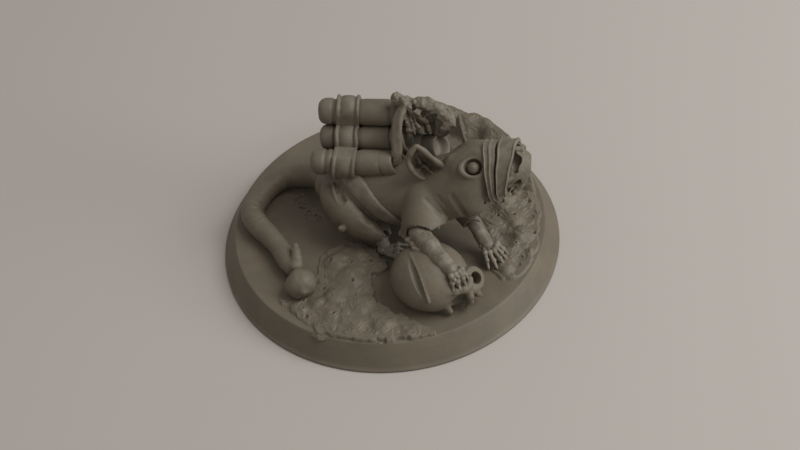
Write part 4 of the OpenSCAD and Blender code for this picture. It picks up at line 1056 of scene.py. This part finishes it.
def hind_foot(p, s, y0):
    """Hind foot: a rod for the heel, four toes with a knuckle and a claw each, and rows of small knobs."""
    rng = np.random.default_rng(122)
    d = rod(p, (-0.1, y0 - 0.2 * s, 3.5), (0.8, y0, 3.55), 0.6, 0.62)
    for k in (-1.5, -0.5, 0.5, 1.5):
        joints = [(0.7, y0 + 0.35 * k, 3.6), (1.6, y0 + 0.62 * k, 3.7), (2.5, y0 + 0.8 * k, 3.3)]
        toe = chain(p, strung(joints, (0.34, 0.26, 0.18)), 0.08)
        toe = melt(toe, ball(p, joints[1], 0.36), 0.08)
        toe = melt(toe, rod(p, joints[2], (2.85, y0 + 0.87 * k, 3.12), 0.18, 0.06), 0.06)
        d = melt(d, toe, 0.08)
    for row in range(4):
        for k in (-1.4, -0.45, 0.45, 1.4):
            shift = rng.uniform(-0.06, 0.06)
            q = (0.05 + 0.42 * row, y0 + 0.38 * k + shift, 4.05 - 0.09 * row - 0.06 * abs(k))
            d = melt(d, ball(p, q, rng.uniform(0.19, 0.27)), 0.06)
    return d


for word, s in (("right", -1), ("left", 1)):
    low_y, high_y = sorted((HIND_Y + s * 3.4, HIND_Y + s * 6.5))
    y0 = HIND_Y + 5.8 * s
    cast("shin_" + word, lambda p: shin(p, s), (-2.1, low_y, 3.2), (1.2, high_y, 6.9), 0.09, BONE_PAINTED_LIGHT, "bone")
    cast("hind_foot_" + word, lambda p: hind_foot(p, s, y0), (-1.0, y0 - 2.0, 2.6), (3.2, y0 + 2.0, 4.8),
         0.065, BONE_PAINTED_LIGHT, "bone")

# ---- Tail -------------------------------------------------------------------------------------
# Thick bare tail laid in a curl on the floor. Its skin has shallow slanting wrinkles, more so on the
# outside of the bends, and its last knuckle stands up as a thin finger beside the pebble.

# x, y, z, and the share of the tail's taper that is still to come
TAIL = [(-6.6, 2.2, 7.2, 1.0), (-8.8, 4.2, 5.6, 1.0), (-11.2, 5.4, 4.35, 0.95), (-13.6, 4.9, 4.25, 0.9),
        (-15.3, 3.1, 4.2, 0.85), (-16.2, 0.6, 4.15, 0.8), (-16.1, -1.3, 4.1, 0.7), (-14.9, -3.0, 4.1, 0.6),
        (-13.2, -4.7, 4.1, 0.4), (-11.7, -6.4, 4.1, 0.2), (-10.7, -7.9, 4.1, 0.1), (-9.9, -9.0, 4.25, 0.0)]
path = curve(TAIL, 34)
share = path[:, 3]
around = circle(80)
rings = tube_rings(path[:, :3], (2.3 + 0.8 * share) / 2, 80)
run = np.concatenate([[0], np.cumsum(np.linalg.norm(np.diff(path[:, :3], axis=0), axis=1))])
outward = rings - path[:, None, :3]
outward /= np.linalg.norm(outward, axis=2, keepdims=True)
c, s = np.cos(around), np.sin(around)
slanted = run[:, None] + 0.35 * s + 0.5 * noise(0.4 * run[:, None] + 0 * around, c, s, 1.0, 134)
crease = 0.05 * noise(slanted, 0.25 * c + 0 * slanted, 0.25 * s + 0 * slanted, 0.42, 131)
crease = crease + 0.13 * noise(0.6 * run[:, None] + 0 * around, 1.2 * c, 1.2 * s, 1.6, 132)
fade = ramp(run, 0.0, 1.5) * (0.55 + 0.7 * ramp(run, 4.0, 8.0) * (1 - ramp(run, 17.0, 21.0)))
rings = rings + (crease * fade[:, None] - 0.06)[..., None] * outward
rings[..., 2] = np.maximum(rings[..., 2], 2.7)


def tip_field(p):
    """Chain of beads that bends up from the floor."""
    d = chain(p, [(-10.1, -8.6, 4.2, 1.06), (-9.75, -9.15, 4.3, 1.02), (-9.3, -9.3, 4.8, 0.8),
                  (-9.2, -8.8, 5.35, 0.56), (-9.4, -8.1, 5.6, 0.46), (-9.6, -7.3, 5.7, 0.42)], 0.3)
    return d + 0.05 * lumps(p, 0.6, 133)


tip = skin_points(tip_field, (-11.4, -10.8, 2.9), (-7.9, -5.6, 6.9), 0.08)
tail = piece("tail", *joined([tube_mesh(rings), tip]))
printed(tail, resin("tail_resin", mottle=500, dust=0.3, layers=0.3, grain=0.6), "hide", "tail")

# ---- Girth strap ------------------------------------------------------------------------------
# A flat strap slung taut round the belly to carry the bundle: plain, with crisp edges, and moulded as
# one with the hide below it.


def evened(values, to_each_side):
    """Running mean of values round a ring."""
    many = 2 * to_each_side + 1
    ring = np.concatenate([values[-to_each_side:], values, values[:to_each_side]])
    return np.convolve(ring, np.ones(many) / many, "valid")


def trunk_only(p):
    """The trunk with the near haunch melted into it, as the strap finds them."""
    return melt(tunnel(p, TRUNK, -8.6, 8.2), haunch(p, -1, 0.5) + 0.3, 1.2)


around = circle(240)
slant = np.array([-GIRTH_NORMAL[2], 0.0, GIRTH_NORMAL[0]])
toward = np.cos(around)[:, None] * np.array([0, 1.0, 0]) + np.sin(around)[:, None] * slant
# section of the strap: share of its half width, and lift off the hide
profile = [(-1.0, -0.3), (-1.0, 0.26), (-0.97, 0.36), (-0.9, 0.4), (-0.3, 0.42), (0.3, 0.42), (0.9, 0.4),
           (0.97, 0.36), (1.0, 0.26), (1.0, -0.3)]
near_share, low_share = np.clip(-np.cos(around), 0, 1), np.clip(-np.sin(around), 0, 1)
middle = np.array([-0.9, -0.1, 8.3])
steps = np.linspace(0, 6.5, 400)
rings = []
for across, lift in profile:
    level = 6.05 + 0.45 * near_share + 0.5 * low_share + (0.95 - 0.1 * near_share) * across
    core = middle + (level - middle @ GIRTH_NORMAL)[:, None] * GIRTH_NORMAL
    spots = core[:, None] + steps[None, :, None] * toward[:, None]
    inside = (trunk_only(spots.reshape(-1, 3)) < 0).reshape(len(around), -1)
    reach = evened(steps[inside.argmin(1)], 6)
    rings.append(core + (reach + lift)[:, None] * toward)
rings = np.stack(rings, 1)
girth = piece("girth_strap", *hoop_mesh(rings), sharp=50)
# painted light: the strap's grey is paler than the hide's, to stand in for the light that its flat face
# catches
printed(girth, resin("girth_resin_painted_light", light=(0.168, 0.143, 0.106), mottle=600, dust=0.25, layers=0.5),
        "bands", "girth_strap")

# ---- Fuse sticks ------------------------------------------------------------------------------
# Five round sticks in a bundle along the back. Each has a cap at both ends, set off by a soft groove,
# a domed rear end, and in front a hollow mouth where its fuse goes in. Some mouths are cut slanting.

# name, y, z, x of the rear end, x of the front end, and the slant dx/dy and dx/dz of the front end
STICKS = [("stick_1", -0.02, 12.13, -8.2, 2.0, 0.22, -0.6), ("stick_2", 2.7, 13.4, -7.4, 2.7, 0.1, -0.3),
          ("stick_3", 4.15, 16.02, -7.5, 2.6, 0.0, 0.0), ("stick_4", 5.70, 13.45, -6.4, 6.2, 0.2, -0.3),
          ("stick_5", 4.25, 10.83, -6.4, 6.2, 0.35, -0.45)]
# radius of a stick, length of its caps, and x of the bundle strap's rear edge
STICK_R = 1.5
CAP = 1.6
STRAP_X = -5.5
STICK = resin("stick_resin", light=(0.146, 0.124, 0.091), mottle=350, dust=0.12, layers=0.8, grain=0.25)
for k, (stick_name, y, z, x0, x1, by_y, by_z) in enumerate(STICKS):
    r, l = STICK_R, x1 - x0
    strap_at = STRAP_X - x0
    profile = dense([(0.02, 0.0), (r - 0.9, 0.03), (r - 0.5, 0.13), (r - 0.2, 0.36), (r - 0.05, 0.68),
                     (r, 1.0), (r, CAP - 0.1), (r - 0.04, CAP + 0.02), (r - 0.14, CAP + 0.14),
                     (r - 0.16, CAP + 0.24), (r - 0.12, CAP + 0.38), (r - 0.04, CAP + 0.55),
                     (r - 0.02, max(CAP + 0.7, strap_at - 0.3)), (r - 0.14, max(CAP + 0.8, strap_at)),
                     (r - 0.16, strap_at + 2.4), (r - 0.1, strap_at + 2.75), (r - 0.02, strap_at + 3.1),
                     (r, strap_at + 3.4), (r, l - CAP - 0.6), (r - 0.03, l - CAP - 0.45),
                     (r - 0.12, l - CAP - 0.3), (r - 0.15, l - CAP - 0.2), (r - 0.13, l - CAP - 0.1),
                     (r - 0.03, l - CAP + 0.03), (r, l - CAP + 0.15), (r, l - 0.12), (r - 0.05, l - 0.03),
                     (r - 0.13, l), (r - 0.22, l - 0.04), (r - 0.28, l - 0.15), (r - 0.34, l - 1.0),
                     (r - 0.6, l - 1.15), (0.02, l - 1.1)], 3)
    form = turned(profile, 96)
    a = np.arctan2(form[..., 1], form[..., 0])
    swell = 1 + 0.014 * noise(form[..., 2] * 0.6, 1.5 * np.cos(a), 1.5 * np.sin(a), 1.6, 140 + k)
    slanting = ramp(form[..., 2], l - 2.4, l - 1.4) * (by_y * form[..., 0] + by_z * form[..., 1])
    rings = np.stack([x0 + form[..., 2] + slanting + 0.02 * np.sin(2 * a + k), y + form[..., 0] * swell,
                      z + form[..., 1] * swell], -1)
    printed(piece(stick_name, *tube_mesh(rings), sharp=60), STICK, "sticks", stick_name)

# ---- Bundle strap -----------------------------------------------------------------------------
# The band that ties the sticks together. It dips deep between them, with a welt along each edge and a
# groove inside each welt.


def pack_field(yz):
    """Distance to the bundle's outline in the plane across it: the sticks' circles melted together."""
    d = None
    for _, y, z, *_ in STICKS:
        e = np.hypot(yz[..., 0] - y, yz[..., 1] - z) - STICK_R
        d = e if d is None else melt(d, e, 0.5)
    return d


around = circle(600)
core = np.array([3.1, 13.3])
beam = np.stack([np.cos(around), np.sin(around)], -1)
steps = np.linspace(0, 7, 500)
inside = pack_field(core + steps[None, :, None] * beam[:, None]) < 0.02
reach = evened(steps[inside.shape[1] - 1 - inside[:, ::-1].argmax(1)], 4)
# section of the strap: place across it, and lift off the bundle
profile = np.array([(0.0, -0.3), (0.0, 0.26), (0.04, 0.36), (0.12, 0.42), (0.24, 0.42), (0.34, 0.36),
                    (0.4, 0.24), (0.48, 0.18), (0.58, 0.2), (0.7, 0.3), (1.3, 0.36), (1.9, 0.3),
                    (2.02, 0.2), (2.12, 0.18), (2.2, 0.24), (2.26, 0.36), (2.36, 0.42), (2.48, 0.42),
                    (2.56, 0.36), (2.6, 0.26), (2.6, -0.3), (1.7, -0.3), (0.9, -0.3)])
lean = 0.05 * (reach * beam[:, 1]) + 0.06 * np.sin(5 * around)
rings = np.stack([STRAP_X + profile[None, :, 0] + lean[:, None],
                  core[0] + (reach[:, None] + profile[None, :, 1]) * beam[:, :1],
                  core[1] + (reach[:, None] + profile[None, :, 1]) * beam[:, 1:]], -1)
strap = piece("bundle_strap", *hoop_mesh(rings), sharp=50)
printed(strap, resin("strap_resin", light=(0.158, 0.134, 0.1), mottle=600, dust=0.3, layers=0.5), "bands",
        "bundle_strap")

# ---- Fuses ------------------------------------------------------------------------------------
# Stiff cast fuses: one runs up from the nearest stick's mouth to a lumpy twisted rag on top, frayed at
# its lower end, and a thick pipe bends over from the rag and down to the far sticks.


def fluted(line, radius, flutes, depth, turns):
    """Tube of radius r(1 + depth cos(flutes a + 2 pi turns s)) at angle a and share s of its length."""
    sides = 36
    rings = tube_rings(line, 1.0, sides)
    s = np.linspace(0, 1, len(line))[:, None]
    a = circle(sides)[None, :]
    swell = 1 + depth * np.cos(flutes * a + 2 * np.pi * turns * s)
    return line[:, None] + (radius * swell)[..., None] * (rings - line[:, None])


FUSE = resin("fuse_resin", light=(0.158, 0.135, 0.1), mottle=900, dust=0.35, layers=0.2, grain=0.6)
cord_line = curve([(0.4, -0.15, 11.6), (0.7, -0.15, 12.2), (1.4, -0.1, 12.6), (1.7, 0.1, 13.6),
                   (1.7, 0.9, 15.2), (1.9, 2.0, 16.9), (2.6, 3.1, 18.0)], 14)
cord = piece("fuse_cord", *tube_mesh(fluted(cord_line, 0.58, 3, 0.13, 0.4)))
printed(cord, FUSE, "fuses", "fuse_cord")


def rag_field(p):
    """Bent chain with a lumpy top and a slanting twist, carved hollows, and frayed ends that hang down."""
    x, y, z = p.T
    bend = [(1.65, 3.5, 18.75, 0.62), (2.5, 3.45, 18.2, 0.72), (3.2, 3.45, 17.7, 0.82),
            (3.7, 3.5, 17.0, 0.86), (4.3, 3.6, 16.3, 0.8), (5.0, 3.6, 15.9, 0.7)]
    d = chain(p, bend, 0.3)
    for q in ((1.35, 3.2, 18.75), (1.9, 3.9, 18.75), (1.7, 3.1, 18.35), (1.45, 3.8, 18.35)):
        d = melt(d, ball(p, q, 0.3), 0.08)
    twist = np.sin(3.4 * (x + 1.2 * y) + 2.2 * z)
    coarse = 0.24 * lumps(p, 0.6, 152) * ramp(x, 1.6, 2.6)
    d = d + 0.08 * twist * ramp(x, 1.9, 2.6) + coarse + 0.1 * lumps(p, 0.28, 155)
    for q, r in (((3.4, 2.9, 17.9), 0.4), ((4.4, 3.0, 16.9), 0.42), ((2.6, 2.8, 17.7), 0.28),
                 ((5.2, 3.1, 16.3), 0.36), ((3.9, 2.8, 16.2), 0.3)):
        d = carve(d, ball(p, q, r), 0.08)
    # frayed ends that hang down over the middle stick
    for line in ([(3.0, 3.0, 17.2), (3.0, 2.9, 16.3), (3.1, 3.1, 15.5)],
                 [(3.5, 2.9, 17.0), (3.7, 2.7, 15.9), (4.2, 2.5, 14.9), (4.5, 2.5, 14.5)],
                 [(2.6, 3.0, 17.9), (2.3, 2.7, 17.1), (2.6, 2.6, 16.4), (3.0, 2.8, 15.9)],
                 [(2.5, 2.9, 17.4), (2.7, 2.5, 16.2), (2.9, 2.2, 15.0), (2.8, 2.1, 14.2)],
                 [(3.0, 2.9, 17.0), (3.3, 2.5, 15.8), (3.5, 2.2, 14.8)],
                 [(4.6, 3.2, 16.2), (4.9, 2.7, 15.3), (5.2, 2.6, 14.7)],
                 [(4.0, 3.1, 16.5), (4.2, 3.1, 15.2), (4.3, 3.3, 13.9)]):
        d = melt(d, ridge(p, line, 0.25) + 0.2 * lumps(p, 0.4, 153), 0.1)
    return d


cast("fuse_knot", rag_field, (0.6, 1.9, 13.2), (6.0, 5.0, 19.7), 0.07, FUSE, "fuses")


def wrap_field(p):
    """Bent pipe, its branch and the collar between them, melted; a carved hollow in front; lumps all over."""
    line = [(3.9, 3.6, 17.9, 0.62), (5.0, 3.7, 17.75, 0.72), (6.0, 3.6, 17.1, 0.78), (6.6, 3.4, 16.0, 0.8),
            (6.75, 2.9, 15.2, 0.76), (6.35, 2.6, 14.5, 0.6)]
    branch = [(5.4, 5.2, 15.6, 0.58), (6.4, 5.0, 15.9, 0.62), (7.1, 4.4, 15.6, 0.6), (7.5, 3.6, 15.0, 0.5)]
    d = melt(chain(p, curve(line, 3), 0.2), chain(p, curve(branch, 3), 0.2), 0.12)
    d = melt(d, chain(p, [(5.3, 5.4, 15.0, 0.6), (5.5, 4.4, 15.9, 0.66), (5.6, 3.9, 16.6, 0.6)], 0.2), 0.15)
    hollow = chain(p, [(4.9, 2.9, 16.9, 0.34), (5.6, 2.9, 16.6, 0.5), (6.0, 2.7, 15.8, 0.5),
                       (6.0, 2.3, 15.0, 0.4)], 0.2)
    d = carve(d, hollow + 0.06 * lumps(p, 0.4, 154), 0.08)
    return d + 0.14 * lumps(p, 0.55, 151) + 0.07 * lumps(p, 0.3, 156)


cast("fuse_sleeve", wrap_field, (3.0, 1.0, 13.4), (9.0, 6.6, 19.0), 0.07, FUSE, "fuses")

# ---- Camera, light and table ------------------------------------------------------------------
# A pale table, one broad soft light from the right and above, a weak low one beside it, and an
# even fill from all round.

# half the table's side, the point that the lamps aim at, and the eye's place and axes, in metres
TABLE_HALF = 3.0
AIM = (0.0, 0.0, 0.005)
EYE_AT = (0.01853037637, -0.08717856662, 0.09756025065)
EYE_RIGHT = (0.99047477, 0.11656156, -0.07330171)
EYE_UP = (-0.03641423, 0.73513453, 0.67694255)
EYE_BACK = (0.1327921, -0.66782529, 0.7323767)

floor = bpy.data.objects.new("table_top", bpy.data.meshes.new("table_top"))
corners = [(TABLE_HALF * x, TABLE_HALF * y, 0) for x, y in ((-1, -1), (1, -1), (1, 1), (-1, 1))]
floor.data.from_pydata(corners, [], [(0, 1, 2, 3)])
bpy.context.scene.collection.objects.link(floor)
table = bpy.data.materials.new("table_paper")
table.use_nodes = True
paper = table.node_tree.nodes["Principled BSDF"]
paper.inputs["Base Color"].default_value = (0.422, 0.386, 0.356, 1)
paper.inputs["Roughness"].default_value = 0.8
paper.inputs["Specular IOR Level"].default_value = 0.39
floor.data.materials.append(table)


def placed(spot, right, up, back):
    """Matrix of a lamp or camera at a spot, from its own three axes."""
    return Matrix([[*row, at] for row, at in zip(np.stack([right, up, back], 1), spot)] + [[0, 0, 0, 1]])


# name, place, side, energy, colour
LAMPS = [("soft_light", (0.25, 0.03, 0.32), 0.24, 1.1, (1.0, 1.0, 1.0)),
         ("low_light", (0.3, -0.05, 0.09), 0.12, 0.34, (0.93, 0.97, 1.0))]
for lamp_name, lamp_at, side, energy, tint in LAMPS:
    lamp = bpy.data.lights.new(lamp_name, "AREA")
    lamp.shape = "SQUARE"
    lamp.size, lamp.energy, lamp.color = side, energy, tint
    light = bpy.data.objects.new(lamp_name, lamp)
    bpy.context.scene.collection.objects.link(light)
    back = unit(np.array(lamp_at) - AIM)
    right = unit(np.cross([0, 0, 1], back))
    light.matrix_world = placed(lamp_at, right, np.cross(back, right), back)

world = bpy.data.worlds.new("room")
world.use_nodes = True
world.node_tree.nodes["Background"].inputs["Color"].default_value = (1.0, 0.975, 0.94, 1)
world.node_tree.nodes["Background"].inputs["Strength"].default_value = 0.39
bpy.context.scene.world = world

camera = bpy.data.cameras.new("camera")
camera.sensor_width, camera.lens = 36.0, 49.5
camera.clip_start, camera.clip_end = 0.005, 10
eye = bpy.data.objects.new("camera", camera)
bpy.context.scene.collection.objects.link(eye)
eye.matrix_world = placed(EYE_AT, EYE_RIGHT, EYE_UP, EYE_BACK)
bpy.context.scene.camera = eye
bpy.context.scene.view_settings.view_transform = "Standard"
